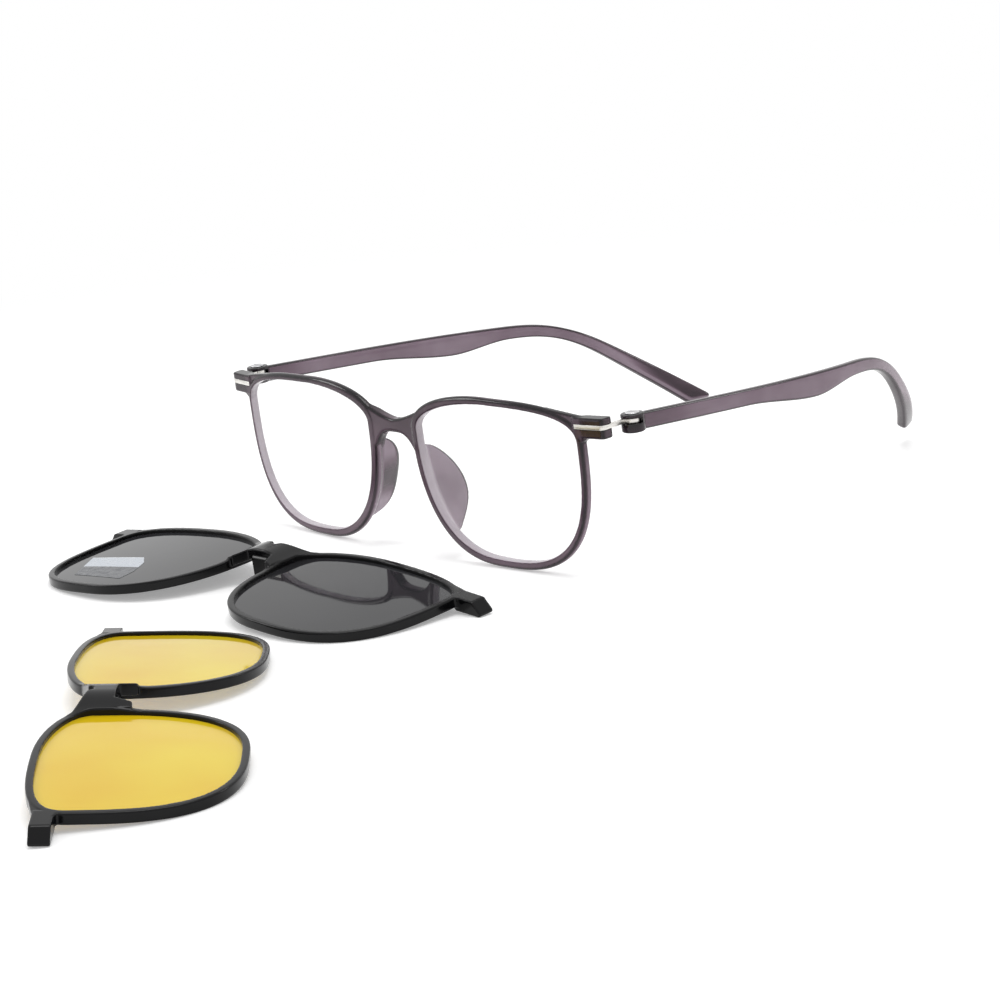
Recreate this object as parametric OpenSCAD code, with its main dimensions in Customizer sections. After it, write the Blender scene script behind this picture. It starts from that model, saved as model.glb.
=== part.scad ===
// Full-rim eyeglasses with two magnetic clip-on fronts, a grey one and a yellow one.
// Millimetres, +Z up. The wearer looks towards -Y, and the temples run to +Y.

/* [Lenses and front] */
// Width of one lens, edge to edge
lens_width = 51; // [49:0.5:52]
// Height of one lens, edge to edge
lens_height = 38.2; // [36:0.2:40]
// Distance between the two lenses
bridge_width = 17; // [16:0.5:18]
// Radius of the front's curve from temple to temple
front_curve_radius = 410; // [360:10:500]
// Lean of the front, top edge forwards, in degrees
front_lean = 2.6; // [1:0.2:4]
// Thickness of a lens
lens_thickness = 1.2; // [1:0.1:1.4]
// How far a lens edge sits inside its groove
groove_depth = 0.4; // [0.3:0.05:0.5]

/* [Rims] */
// Width of a rim at the side, seen from the front
rim_width = 2.0; // [1.8:0.1:2.4]
// Width of a rim at the bottom
rim_bottom_width = 2.2; // [1.9:0.1:2.6]
// Depth of a rim from front to back
rim_depth = 3.4; // [3.2:0.1:4]
// Stations around each rim
rim_steps = 52; // [44:4:60]

/* [Bridge and nose pads] */
// Height of the bridge at its middle
bridge_height = 3.4; // [2.8:0.2:4]
// How far the nose pads reach behind the rims
pad_reach = 8.4; // [6:0.2:9.4]
// How far the nose pads flare apart, in degrees
pad_flare = 17; // [8:1:24]
// Thickness of a nose pad
pad_thickness = 1.5; // [1.2:0.1:2]

/* [End-pieces and hinges] */
// How far an end-piece reaches out beyond its lens
end_reach = 6.9; // [6.6:0.1:7.2]
// How far a hinge pin stands out beyond its end-piece
pin_overhang = 1.4; // [1:0.1:2]
// Distance of a hinge pin behind the front
pin_setback = 14.4; // [14:0.1:15]
// Height of an end-piece
end_height = 4.2; // [3.8:0.1:4.8]
// Height of the metal strip let into an end-piece
strip_height = 1.1; // [0.9:0.05:1.3]
// Thickness of the metal strip
strip_thickness = 0.8; // [0.6:0.05:0.9]
// Diameter of a hinge pin
pin_diameter = 1.5; // [1.3:0.1:1.7]
// Diameter of the barrel at the front of a temple
barrel_diameter = 5.6; // [5.4:0.1:5.8]
// Radial clearance of the strip's eye on the pin
hinge_clearance = 0.05; // [0.03:0.01:0.08]
// Clearance above and below the strip's eye in the barrel
eye_clearance = 0.1; // [0.08:0.01:0.14]

/* [Temples] */
// Length of a temple from its pin to its tip
temple_length = 148; // [142:1:150]
// Height of the arm behind the hinge
temple_height = 3.8; // [3.4:0.1:4]
// Thickness of the arm
temple_thickness = 2.4; // [2.2:0.1:2.7]
// Height of the rounded tip
tip_height = 5.2; // [4.6:0.2:6]
// Downward slope of the arm, in degrees
temple_slope = 3.3; // [2.7:0.1:3.5]
// Downward bend behind the ear, in degrees
ear_bend = 32; // [28:1:33]
// Inward curl of the tip, in degrees
tip_curl = 48; // [42:1:52]

/* [Clip-on fronts] */
// Depth of a clip's rim
clip_depth = 2.5; // [2.3:0.1:2.9]
// Width of a clip's rim at the side
clip_rim_width = 2.1; // [1.9:0.1:2.4]
// How far the two wings beside the bridge bar rise
wing_rise = 3; // [2:0.2:3.6]
// How far the folded end tips reach behind the clip's front
clip_tip_depth = 3.5; // [3.4:0.1:4.2]
// Gap between a clip and the front when it is worn
clip_gap = 0.4; // [0.3:0.05:0.6]
// Where the grey clip lies: sideways
grey_clip_x = -9.4; // [-14:0.2:-6]
// Where the grey clip lies: in front of the glasses
grey_clip_y = -44; // [-48:0.5:-42]
// How far beside the grey clip's middle the yellow clip's near end lies
yellow_clip_aside = 16.24; // [14:0.5:22]
// How far in front of the grey clip's middle that end lies
yellow_clip_ahead = 28.83; // [28:0.5:36]
// Which way the yellow clip points, in degrees
yellow_clip_turn = 138; // [135:1:141]

/* [Magnets] */
// Length of a magnet
magnet_length = 5.2; // [4.4:0.2:5.4]
// Height of a magnet
magnet_height = 2.8; // [2.4:0.1:3]
// Thickness of a magnet
magnet_thickness = 1.2; // [1:0.1:1.3]

/* [Hidden] */
opening_width = lens_width - 2 * groove_depth;
opening_height = lens_height - 2 * groove_depth;
centre_x = bridge_width / 2 + groove_depth + 0.4713 * opening_width;
centre_z = 0.2855 * opening_height;
reach_out = 0.5287 * opening_width;
reach_in = 0.4713 * opening_width;
reach_up = 0.2145 * opening_height;
reach_down = 0.7855 * opening_height;
brow_slope = -0.024;
corner_ease = 5;
lens_set = 0.8;
lens_side = bridge_width / 2 + lens_width;
end_x = lens_side + end_reach;
pin_x = end_x + pin_overhang;
end_z = 15.4;
eye_radius = pin_diameter / 2 + 1.15;
barrel_top = 1.5;
barrel_low = -2.7;
strip_x = end_x + 0.6;
brow_x = lens_side - 7;
tip_x = end_x + 0.7 + clip_gap;
middle = [14.78, -16.11];
purple = "#6f6470";
black = "#26262a";
steel = "#c9ccd0";

// Outline of one lens opening
function power_of(v, e) = sign(v) * pow(abs(v), e);
function corner_power(a) = sin(a) >= 0 ? (cos(a) >= 0 ? 3.04 : 1.9) : (cos(a) < 0 ? 2.44 : 2.89);
function side_reach(a) = cos(a) >= 0 ? reach_out : reach_in;
function rise_reach(a) = sin(a) >= 0 ? reach_up : reach_down;
function side_step(a) = side_reach(a) * power_of(cos(a), 2 / corner_power(a));
function rise_step(a) = rise_reach(a) * power_of(sin(a), 2 / corner_power(a));
function opening(a) = [centre_x + side_step(a), centre_z + rise_step(a) + brow_slope * side_step(a)];
function turn_right(v) = [v.y, -v.x] / norm(v);
function outward(a) = turn_right(opening(a + 1.5) - opening(a - 1.5));
function edge(a, n) = opening(a) + n * outward(a);
function station(i, count) = 360 * i / count - corner_ease * sin(4 * 360 * i / count);
function bow(x) = front_curve_radius - sqrt(front_curve_radius * front_curve_radius - x * x);
function on_front(p, y) = [p.x, bow(p.x) + y, p.y];
function smooth(t) = t <= 0 ? 0 : t >= 1 ? 1 : t * t * (3 - 2 * t);
function lens_edge(count) = [for (i = [0 : count - 1]) edge(station(i, count), groove_depth)];

// Cross-section of the front's rim, from the inner wall outwards
function rim_wide(a) = rim_width + (rim_bottom_width - rim_width) * max(0, -sin(a));
function seat_front(set) = set - 0.03;
function seat_back(set, thickness) = set + thickness + 0.03;
function seat(set, thickness) = [[0, seat_back(set, thickness)], [groove_depth, seat_back(set, thickness)],
  [groove_depth, seat_front(set)], [0, seat_front(set)]];
function rim_section(w, d) = concat([[0, 0.35], [0.3, 0.04], [w - 0.8, 0], [w - 0.25, 0.25], [w, 0.85],
  [w, d - 0.9], [w - 0.25, d - 0.25], [w - 0.85, d], [0.35, d], [0, d - 0.35]], seat(lens_set, lens_thickness));
function rim_stations() = [for (i = [0 : rim_steps - 1]) let (a = station(i, rim_steps))
  [for (s = rim_section(rim_wide(a), rim_depth)) on_front(edge(a, s.x), s.y)]];
function lowest_rim() = min([for (ring = rim_stations()) for (p = ring)
  p.z * cos(front_lean) + p.y * sin(front_lean)]);
front_height = -lowest_rim();

// Closed tube through rings of points
module tube(rings) {
  n = len(rings);
  m = len(rings[0]);
  polyhedron(
    points = [for (r = rings) each r],
    faces = [for (i = [0 : n - 1]) for (j = [0 : m - 1]) let (k = (i + 1) % n, l = (j + 1) % m)
      each [[i * m + j, k * m + j, k * m + l], [i * m + j, k * m + l, i * m + l]]],
    convexity = 8);
}

// Solid through a row of sections, closed at both ends
module loft(rows) {
  n = len(rows);
  m = len(rows[0]);
  sides = [for (i = [0 : n - 2]) for (j = [0 : m - 1]) let (l = (j + 1) % m)
    each [[i * m + j, (i + 1) * m + j, (i + 1) * m + l], [i * m + j, (i + 1) * m + l, i * m + l]]];
  first = [for (j = [1 : m - 2]) [0, j, j + 1]];
  last = [for (j = [1 : m - 2]) [(n - 1) * m, (n - 1) * m + j + 1, (n - 1) * m + j]];
  polyhedron(points = [for (r = rows) each r], faces = concat(sides, first, last), convexity = 8);
}

module both() {
  children();
  mirror([1, 0, 0]) children();
}

module left() mirror([1, 0, 0]) children();

// Place of the front: leaning, lower rims on the floor
module lean() translate([-middle.x, -middle.y, front_height]) rotate([front_lean, 0, 0]) children();

// Rounded slice of a bar that runs sideways
module slice(x, y0, y1, z0, z1, r) {
  translate([x, 0, 0]) rotate([90, 0, 90])
    linear_extrude(0.02)
      polygon([[y0 + r, z0], [y1 - r, z0], [y1, z0 + r], [y1, z1 - r], [y1 - r, z1], [y0 + r, z1],
        [y0, z1 - r], [y0, z0 + r]]);
}

// Bridge between the rims
bridge_stops = [-10.5, -8.6, -6.8, -4.6, -2, 2, 4.6, 6.8, 8.6, 10.5];
function bridge_base() = centre_z - 1.35;
function bridge_top(x) = bridge_base() + bridge_height + 4.2 * pow(abs(x) / 12.2, 1.5);
function bridge_bottom(x) = bridge_base() - 5.3 * pow(abs(x) / 7.5, 3.2);
module bridge_slice(x) {
  slice(x, bow(x) + 0.25, bow(x) + rim_depth, max(bridge_bottom(x), bridge_base() - 8), bridge_top(x), 0.8);
}

module bridge() {
  for (i = [0 : len(bridge_stops) - 2])
    hull() {
      bridge_slice(bridge_stops[i]);
      bridge_slice(bridge_stops[i + 1]);
    }
}

// Nose pad that grows out of the back of the rim
pad_steps = 12;
function pad_angle(t) = 186 + 46 * t;
function pad_root(t) = on_front(edge(pad_angle(t), 1.1), rim_depth - 1.4);
function pad_bulge(t) = pow(sin(180 * (0.05 + 0.9 * t)), 0.8);
function pad_lean(t) = pad_flare * sin(180 * min(1, t * 1.1));
function pad_way(t) = [sin(pad_lean(t)), cos(pad_lean(t)), 0];
function pad_end(t) = pad_root(t) + pad_reach * pad_bulge(t) * pad_way(t);
function pad_across(t) = [cos(pad_lean(t)), -sin(pad_lean(t)), 0];
function pad_row(t) = let (a = pad_root(t), b = pad_end(t), u = pad_across(t), v = pad_way(t), h = pad_thickness / 2)
  [a - h * u, a + (b - a) * 0.5 - h * u, b - v * 0.5 - h * u, b - 0.4 * h * u, b + 0.4 * h * u,
   b - v * 0.5 + h * u, a + (b - a) * 0.5 + h * u, a + h * u];
module nose_pad() loft([for (i = [0 : pad_steps]) pad_row(i / pad_steps)]);

// Block of an end-piece with rounded upright corners
module post(x, y, z0, z1, r) {
  translate([x, y, z0 + 0.3]) cylinder(h = z1 - z0 - 0.6, r = r, $fn = 12);
  translate([x, y, z0]) cylinder(h = z1 - z0, r = r - 0.3, $fn = 12);
}

module end_piece() {
  z0 = end_z - end_height / 2;
  z1 = end_z + end_height / 2;
  x0 = lens_side - 0.9;
  back = bow(end_x) + rim_depth;
  hull() {
    post(x0, bow(x0) + 0.7, z0, z1, 0.7);
    post(end_x - 0.3, bow(end_x) + 0.75, z0, z1, 0.7);
    post(x0, bow(x0) + rim_depth - 0.7, z0, z1, 0.7);
    post(end_x - 0.1, back - 0.8, z0, z1, 0.7);
  }
  hull() {
    post(end_x - 0.3, bow(end_x) + 0.75, z0, z1, 0.7);
    post(end_x - 0.1, back - 0.8, z0, z1, 0.7);
    post(end_x + 0.1, back - 0.7, z0, z1, 0.7);
    post(end_x - 0.1, bow(end_x) + 1.2, z0, z1, 0.7);
  }
  hull() {
    slice(brow_x, bow(brow_x) + 0.15, bow(brow_x) + rim_depth - 0.1, end_z + 1, edge(60, rim_width - 0.2).y, 0.5);
    post(x0 + 1.6, bow(x0 + 1.6) + 0.8, end_z, z1, 0.7);
    post(x0 + 1.6, bow(x0 + 1.6) + rim_depth - 0.8, end_z, z1, 0.7);
  }
  hull() {
    post(x0 + 2, bow(x0 + 2) + 0.9, end_z - 4.8, end_z, 0.7);
    post(x0 + 2, bow(x0 + 2) + rim_depth - 0.9, end_z - 4.8, end_z, 0.7);
    post(x0 + 3.6, bow(x0 + 3.6) + 0.9, z0 + 0.2, end_z, 0.7);
    post(x0 + 3.6, bow(x0 + 3.6) + rim_depth - 0.9, z0 + 0.2, end_z, 0.7);
  }
}

// Plan of the metal strip: along the front, round the corner, back to the pin
strip_start = lens_side - 0.6;
function strip_path(out) = [[strip_start, bow(strip_start) - 0.02 + out], [end_x - 0.4, bow(end_x) - 0.05 + out],
  [strip_x - out, bow(end_x) + 1.2], [strip_x + 0.1 - out, bow(end_x) + rim_depth + 0.3],
  [pin_x - 0.5 - out, pin_setback]];
module strip_plan(inner, outer) {
  a = strip_path(inner);
  b = strip_path(outer);
  polygon(concat(a, [for (i = [len(b) - 1 : -1 : 0]) b[i]]));
}

module strip() {
  translate([0, 0, end_z - strip_height / 2])
    linear_extrude(strip_height) strip_plan(0, strip_thickness);
}

module strip_groove() {
  translate([0, 0, end_z - strip_height / 2])
    linear_extrude(strip_height) strip_plan(-2, strip_thickness);
}

// Magnet pockets of the front and of the clips open towards each other's back
magnet_x = end_x - 3.5;
magnet_turn = 8.8;
module magnet_block(y, extra) {
  translate([magnet_x, bow(magnet_x) + y, end_z]) rotate([0, 0, magnet_turn])
    translate([-magnet_length / 2, 0, -magnet_height / 2])
      cube([magnet_length, magnet_thickness + extra, magnet_height]);
}

module front_frame() color(purple) lean() render() difference() {
  union() {
    both() tube(rim_stations());
    clear_of_lenses() {
      bridge();
      both() nose_pad();
      both() end_piece();
    }
  }
  both() strip_groove();
  both() magnet_block(rim_depth - magnet_thickness - 0.3, 3);
}

// Keeps what joins a rim from outside out of its groove and opening
module clear_of_lenses() difference() {
  union() children();
  both() translate([0, 20, 0]) rotate([90, 0, 0])
    linear_extrude(40) polygon([for (i = [0 : 71]) edge(station(i, 72), groove_depth + 0.2)]);
}

// Curved lens: an outline cut from a thin cylinder wall
module curved_plate(points, y0, y1) {
  intersection() {
    translate([0, 30, 0]) rotate([90, 0, 0]) linear_extrude(60) polygon(points);
    translate([0, front_curve_radius, -40]) difference() {
      cylinder(h = 80, r = front_curve_radius - y0, $fn = 360);
      translate([0, 0, -1]) cylinder(h = 82, r = front_curve_radius - y1, $fn = 360);
    }
  }
}

module demo_lens() curved_plate(lens_edge(rim_steps), lens_set, lens_set + lens_thickness);

module demo_lens_left() color("#e6eaee", 0.35) lean() left() demo_lens();
module demo_lens_right() color("#e6eaee", 0.35) lean() demo_lens();

module front_magnet() magnet_block(rim_depth - magnet_thickness - 0.3, 0);
module front_magnet_left() color("#5a5a60") lean() left() front_magnet();
module front_magnet_right() color("#5a5a60") lean() front_magnet();

// Metal strip with its eye
module hinge_strip() {
  difference() {
    union() {
      strip();
      translate([pin_x, pin_setback, end_z - strip_height / 2])
        cylinder(h = strip_height, r = eye_radius, $fn = 48);
    }
    translate([pin_x, pin_setback, end_z - strip_height])
      cylinder(h = 2 * strip_height, r = pin_diameter / 2 + hinge_clearance, $fn = 48);
  }
}

module hinge_strip_left() color(steel) lean() left() hinge_strip();
module hinge_strip_right() color(steel) lean() hinge_strip();

// Headed pin pressed into the temple's barrel
module hinge_pin() {
  translate([pin_x, pin_setback, end_z]) {
    translate([0, 0, barrel_low]) cylinder(h = barrel_top - barrel_low, r = pin_diameter / 2, $fn = 48);
    translate([0, 0, barrel_top]) cylinder(h = 0.35, r = pin_diameter / 2 + 0.95, $fn = 48);
  }
}

module hinge_pin_left() color(steel) lean() left() hinge_pin();
module hinge_pin_right() color(steel) lean() hinge_pin();

// Path of a temple, stepped from the pin to the tip
temple_steps = 34;
arm_start = 2.4;
step = (temple_length - arm_start) / temple_steps;
function droop(s) = temple_slope + front_lean + ear_bend * smooth((s - 81.5) / 30.5);
function curl(s) = s < 35 ? 0 : tip_curl * pow((s - 35) / (temple_length - 35), 1.35);
function way(s) = [-sin(curl(s)) * cos(droop(s)), cos(curl(s)) * cos(droop(s)), -sin(droop(s))];
function temple_path() = [for (i = 0, p = [0, arm_start, -0.95]; i <= temple_steps;
  p = p + step * way(arm_start + (i + 0.5) * step), i = i + 1) p];
function bump(s) = smooth((s - 44) / 18) * (1 - smooth((s - 66) / 8));
function tip_grow(s) = smooth((s - 122) / 20);
function tip_end(s) = s < temple_length - 4 ? 1 : sqrt(max(0.02, 1 - pow((s - temple_length + 4) / 4, 2)));
function above(s) = (temple_height / 2 - 0.3 * smooth((s - 70) / 30) + (tip_height - 3.2) / 2 * tip_grow(s)) * tip_end(s);
function below(s) = (temple_height / 2 + 1.5 * bump(s) - 0.3 * smooth((s - 70) / 30)
  + (tip_height - 3.2) / 2 * tip_grow(s)) * tip_end(s);
function half_thick(s) = (temple_thickness / 2 + 0.15 * tip_grow(s)) * (0.4 + 0.6 * tip_end(s));
function side_way(s) = [cos(curl(s)), sin(curl(s)), 0];
function up_way(s) = [-sin(curl(s)) * sin(droop(s)), cos(curl(s)) * sin(droop(s)), cos(droop(s))];
function temple_row(s, p) = let (u = side_way(s), v = up_way(s), h = half_thick(s), a = above(s), b = below(s))
  [p + 0.66 * h * u - b * v, p - 0.66 * h * u - b * v, p - h * u - 0.72 * b * v, p - h * u + 0.72 * a * v,
   p - 0.66 * h * u + a * v, p + 0.66 * h * u + a * v, p + h * u + 0.72 * a * v, p + h * u - 0.72 * b * v];
module temple_arm() {
  path = temple_path();
  loft([for (i = [0 : temple_steps]) temple_row(arm_start + i * step, path[i])]);
}

// Temple with its slotted barrel
module temple() {
  slot = strip_height + 2 * eye_clearance;
  slot_reach = barrel_diameter / 2 + 1.2;
  translate([pin_x, pin_setback, end_z]) difference() {
    union() {
      translate([0, 0, barrel_low]) cylinder(h = barrel_top - barrel_low, r = barrel_diameter / 2, $fn = 64);
      temple_arm();
    }
    translate([0, 0, -slot / 2]) cylinder(h = slot, r = eye_radius + 0.2, $fn = 48);
    translate([-slot_reach, -slot_reach, -slot / 2]) cube([slot_reach + 0.5, slot_reach, slot]);
    translate([-slot_reach, -slot_reach, -slot / 2]) cube([slot_reach, slot_reach + 1.75, slot]);
    translate([0, 0, barrel_low - 1]) cylinder(h = barrel_top - barrel_low + 3.8, r = pin_diameter / 2, $fn = 48);
  }
}

module temple_left() color(purple) lean() left() temple();
module temple_right() color(purple) lean() temple();

// Clip rim: flat front, lens let in from behind
clip_steps = 44;
clip_set = 1.1;
clip_lens_thickness = 1;
function clip_wide(a) = clip_rim_width + 0.7 * max(0, -sin(a));
function clip_section(w, d) = concat([[0, 0.3], [0.3, 0.02], [w - 0.45, 0], [w, 0.4], [w, d - 0.5],
  [w - 0.5, d], [0, d]], seat(clip_set, clip_lens_thickness));
function wing_lift(x, z) = -wing_rise * (1 - smooth((abs(x) - 3.6) / 9.4)) * smooth((z - 1) / 7);
function lifted(p, y) = on_front(p, y + (y < 0.45 ? wing_lift(p.x, p.y) : 0));
function clip_stations() = [for (i = [0 : clip_steps - 1]) let (a = station(i, clip_steps))
  [for (s = clip_section(clip_wide(a), clip_depth)) lifted(edge(a, s.x), s.y)]];

// Wing beside the bar, and the bar set back between the wings
wing_stops = [3.4, 4.6, 6.2, 8, 10.4, 13];
function wing_top(x) = centre_z + 2 + 3.9 * pow(max(0, abs(x) - 3) / 10, 1.1);
function wing_low(x) = x < 5 ? centre_z - 2.4 : centre_z - 2.4 - 2.2 * (x - 5);
module wing_slice(x) {
  low = x > 8.2 ? wing_top(x) - 2.2 : max(wing_low(x), centre_z - 7);
  slice(x, bow(x) + wing_lift(x, 12), bow(x) + clip_depth, low, wing_top(x), 0.45);
}

module wing() {
  for (i = [0 : len(wing_stops) - 2])
    hull() {
      wing_slice(wing_stops[i]);
      wing_slice(wing_stops[i + 1]);
    }
}

module bar_and_hook() {
  hook_top = bridge_bottom(3.4) - clip_gap;
  hull() {
    slice(-4, 0.4, clip_depth, hook_top - 0.5, centre_z + 2, 0.4);
    slice(3.98, 0.4, clip_depth, hook_top - 0.5, centre_z + 2, 0.4);
  }
  hull() {
    slice(-2.7, 0.9, clip_depth + 2.6, hook_top - 1.7, hook_top, 0.4);
    slice(2.68, 0.9, clip_depth + 2.6, hook_top - 1.7, hook_top, 0.4);
  }
}

// End tip: runs out over the end-piece, then folds back round its corner
module clip_end() {
  z0 = end_z - end_height / 2 - 0.3;
  z1 = end_z + end_height / 2 + 0.3;
  x0 = lens_side - 0.1;
  hull() {
    post(x0, bow(x0) + 0.75, z0 - 1.6, z1, 0.7);
    post(x0, bow(x0) + clip_depth - 0.75, z0 - 1.6, z1, 0.7);
    post(end_x - 1.2, bow(end_x - 1.2) + 0.75, z0, z1, 0.7);
    post(end_x - 1.2, bow(end_x - 1.2) + clip_depth - 0.75, z0, z1, 0.7);
  }
  hull() {
    post(end_x - 1.2, bow(end_x - 1.2) + 0.75, z0, z1, 0.7);
    post(end_x - 1.2, bow(end_x - 1.2) + clip_depth - 0.75, z0, z1, 0.7);
    post(tip_x + 0.2, bow(end_x) + 1.9, z0 + 0.3, z1 - 0.3, 0.6);
  }
  hull() {
    post(tip_x + 0.2, bow(end_x) + 1.9, z0 + 0.3, z1 - 0.3, 0.6);
    post(tip_x + 0.25, bow(end_x) + clip_tip_depth - 0.6, z0 + 0.3, z1 - 0.3, 0.6);
  }
  hull() {
    slice(brow_x, bow(brow_x) + 0.15, bow(brow_x) + clip_depth - 0.1, end_z + 1, edge(60, clip_rim_width - 0.2).y, 0.4);
    post(x0 + 1.2, bow(x0 + 1.2) + 0.8, end_z, z1, 0.7);
    post(x0 + 1.2, bow(x0 + 1.2) + clip_depth - 0.8, end_z, z1, 0.7);
  }
}

module clip_frame() render() difference() {
  union() {
    both() tube(clip_stations());
    clear_of_lenses() {
      both() wing();
      bar_and_hook();
      both() clip_end();
    }
  }
  both() magnet_block(clip_depth - magnet_thickness - 0.2, 3);
}

module clip_lens() curved_plate(lens_edge(clip_steps), clip_set, clip_set + clip_lens_thickness);
module clip_magnet() magnet_block(clip_depth - magnet_thickness - 0.2, 0);

// How a clip lies face up: on its two end tips and its lower rims
tip_touch = [bow(end_x) + clip_tip_depth, end_z - end_height / 2];
function clip_backs() = [for (i = [0 : clip_steps - 1]) let (a = station(i, clip_steps))
  if (sin(a) < -0.2) on_front(edge(a, clip_wide(a) - 0.5), clip_depth)];
clip_tilt = atan(min([for (p = clip_backs()) (tip_touch.x - p.y) / (tip_touch.y - p.z)]));
clip_lift = tip_touch.x * cos(clip_tilt) - tip_touch.y * sin(clip_tilt);
module lying(x, y, turn) {
  translate([x - middle.x, y - middle.y, clip_lift]) rotate([0, 0, turn]) rotate([-90 + clip_tilt, 0, 0]) children();
}

module grey_place() lying(grey_clip_x, grey_clip_y, 0.7) children();
module yellow_place() {
  x = grey_clip_x + yellow_clip_aside - tip_x * cos(yellow_clip_turn);
  y = grey_clip_y - yellow_clip_ahead - tip_x * sin(yellow_clip_turn);
  lying(x, y, yellow_clip_turn) children();
}

module grey_clip_frame() color(black) grey_place() clip_frame();
module grey_clip_lens_left() color("#55555c", 0.9) grey_place() left() clip_lens();
module grey_clip_lens_right() color("#55555c", 0.9) grey_place() clip_lens();
module grey_clip_magnet_left() color("#5a5a60") grey_place() left() clip_magnet();
module grey_clip_magnet_right() color("#5a5a60") grey_place() clip_magnet();

// Blank foil label on the grey clip's lens
label_shape = [for (p = [[-21.44, -2.6], [-4.24, 0.4], [-1.04, -1.6], [3.16, -8.6], [4.16, -13.6], [-13.04, -14.4]])
  [p.x - centre_x, p.y]];
module grey_clip_label() color("#b9bec6") grey_place() curved_plate(label_shape, clip_set - 0.12, clip_set);

module yellow_clip_frame() color(black) yellow_place() clip_frame();
module yellow_clip_lens_left() color("#f2d21c", 0.8) yellow_place() left() clip_lens();
module yellow_clip_lens_right() color("#f2d21c", 0.8) yellow_place() clip_lens();
module yellow_clip_magnet_left() color("#5a5a60") yellow_place() left() clip_magnet();
module yellow_clip_magnet_right() color("#5a5a60") yellow_place() clip_magnet();

front_frame();
demo_lens_left();
demo_lens_right();
hinge_strip_left();
hinge_strip_right();
temple_left();
temple_right();
hinge_pin_left();
hinge_pin_right();
front_magnet_left();
front_magnet_right();
grey_clip_frame();
grey_clip_lens_left();
grey_clip_lens_right();
grey_clip_magnet_left();
grey_clip_magnet_right();
grey_clip_label();
yellow_clip_frame();
yellow_clip_lens_left();
yellow_clip_lens_right();
yellow_clip_magnet_left();
yellow_clip_magnet_right();
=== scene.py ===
"""Clip-on eyeglasses on a white table: a smoke-purple front with folding temples, a grey clip and a yellow clip.

Sizes are in millimetres until a finished piece becomes metres. The front's own frame has its origin between
the lenses: x sideways, y backwards, z up. A placing turns that frame to where a piece stands or lies.
"""

import logging
from collections.abc import Callable
from dataclasses import dataclass
from enum import Enum

import bpy
import numpy as np
from mathutils import Matrix

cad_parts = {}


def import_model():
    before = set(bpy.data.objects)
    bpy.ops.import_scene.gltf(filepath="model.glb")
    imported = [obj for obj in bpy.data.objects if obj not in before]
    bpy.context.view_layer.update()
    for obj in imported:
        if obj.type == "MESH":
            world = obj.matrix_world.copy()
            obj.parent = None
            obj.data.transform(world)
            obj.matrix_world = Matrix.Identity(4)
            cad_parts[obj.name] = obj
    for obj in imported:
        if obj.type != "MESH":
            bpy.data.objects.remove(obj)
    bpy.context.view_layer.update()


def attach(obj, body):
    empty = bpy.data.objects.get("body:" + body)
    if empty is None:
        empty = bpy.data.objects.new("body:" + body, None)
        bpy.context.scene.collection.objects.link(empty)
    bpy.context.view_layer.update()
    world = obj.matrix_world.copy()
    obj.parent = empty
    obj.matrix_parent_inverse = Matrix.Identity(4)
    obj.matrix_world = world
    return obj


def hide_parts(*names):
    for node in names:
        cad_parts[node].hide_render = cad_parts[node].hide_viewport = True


log = logging.getLogger("eyeglasses")
Array = np.ndarray
Piece = bpy.types.Object
Tree = bpy.types.NodeTree
Socket = bpy.types.NodeSocket
Material = bpy.types.Material
MIDDLE = (14.78, -16.11)
FRONT_CURVE = 410.0
CLIP_CURVE = 600.0
WHITE = (1.0, 1.0, 1.0, 1.0)
PLASTIC_IOR = 1.5
PLATE_STATIONS = 180
RIM_STATIONS = 360


class Join(Enum):
    """How one closed mesh is joined to another."""

    ADD = "UNION"
    CUT = "DIFFERENCE"


class Side(Enum):
    """A piece's side, seen from the front."""

    LEFT = -1
    RIGHT = 1

    @property
    def word(self) -> str:
        """The side's name as the nodes spell it."""
        return self.name.lower()


def smooth(value: Array, start: float = 0.0, over: float = 1.0) -> Array:
    """Eases from 0 at start to 1 a stretch further on: three times the share's square less twice its cube."""
    t = np.clip((value - start) / over, 0.0, 1.0)
    return t * t * (3 - 2 * t)


def bell(value: Array, middle: float, width: float) -> Array:
    """A bell curve: e to minus the square of the distance from the middle, over the width."""
    return np.exp(-(((value - middle) / width) ** 2))


def bow(x: Array, radius: float = FRONT_CURVE) -> Array:
    """How far a curved front falls back at x: radius less the root of radius squared less x squared."""
    return radius - np.sqrt(radius**2 - np.asarray(x, float) ** 2)


def bent(flat: Array, curve: float, deep: Array | float) -> Array:
    """Flat points (x, z) put on a front's curve, so deep behind its face."""
    return np.stack([flat[..., 0], bow(flat[..., 0], curve) + deep, flat[..., 1]], axis=-1)


def signed(value: Array, power: Array | float) -> Array:
    """The value's size raised to a power, its sign kept."""
    return np.sign(value) * np.abs(value) ** power


def circle(radius: float, count: int = 64, x: float = 0.0, y: float = 0.0) -> Array:
    """Points (x, y) of a circle: cosine and sine of equal steps, times the radius."""
    turn = 2 * np.pi * np.arange(count) / count
    return np.stack([x + radius * np.cos(turn), y + radius * np.sin(turn)], axis=1)


def along(start: float, end: float, count: int) -> tuple[Array, Array]:
    """Stations from start to end, and how far along each is, from 0 to 1."""
    x = np.linspace(start, end, count)
    return x, (x - x[0]) / (x[-1] - x[0])


def turned(points: Array, degrees: float, axis: str) -> Array:
    """Points turned about one axis through the origin."""
    return points @ np.array(Matrix.Rotation(np.radians(degrees), 3, axis)).T


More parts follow.
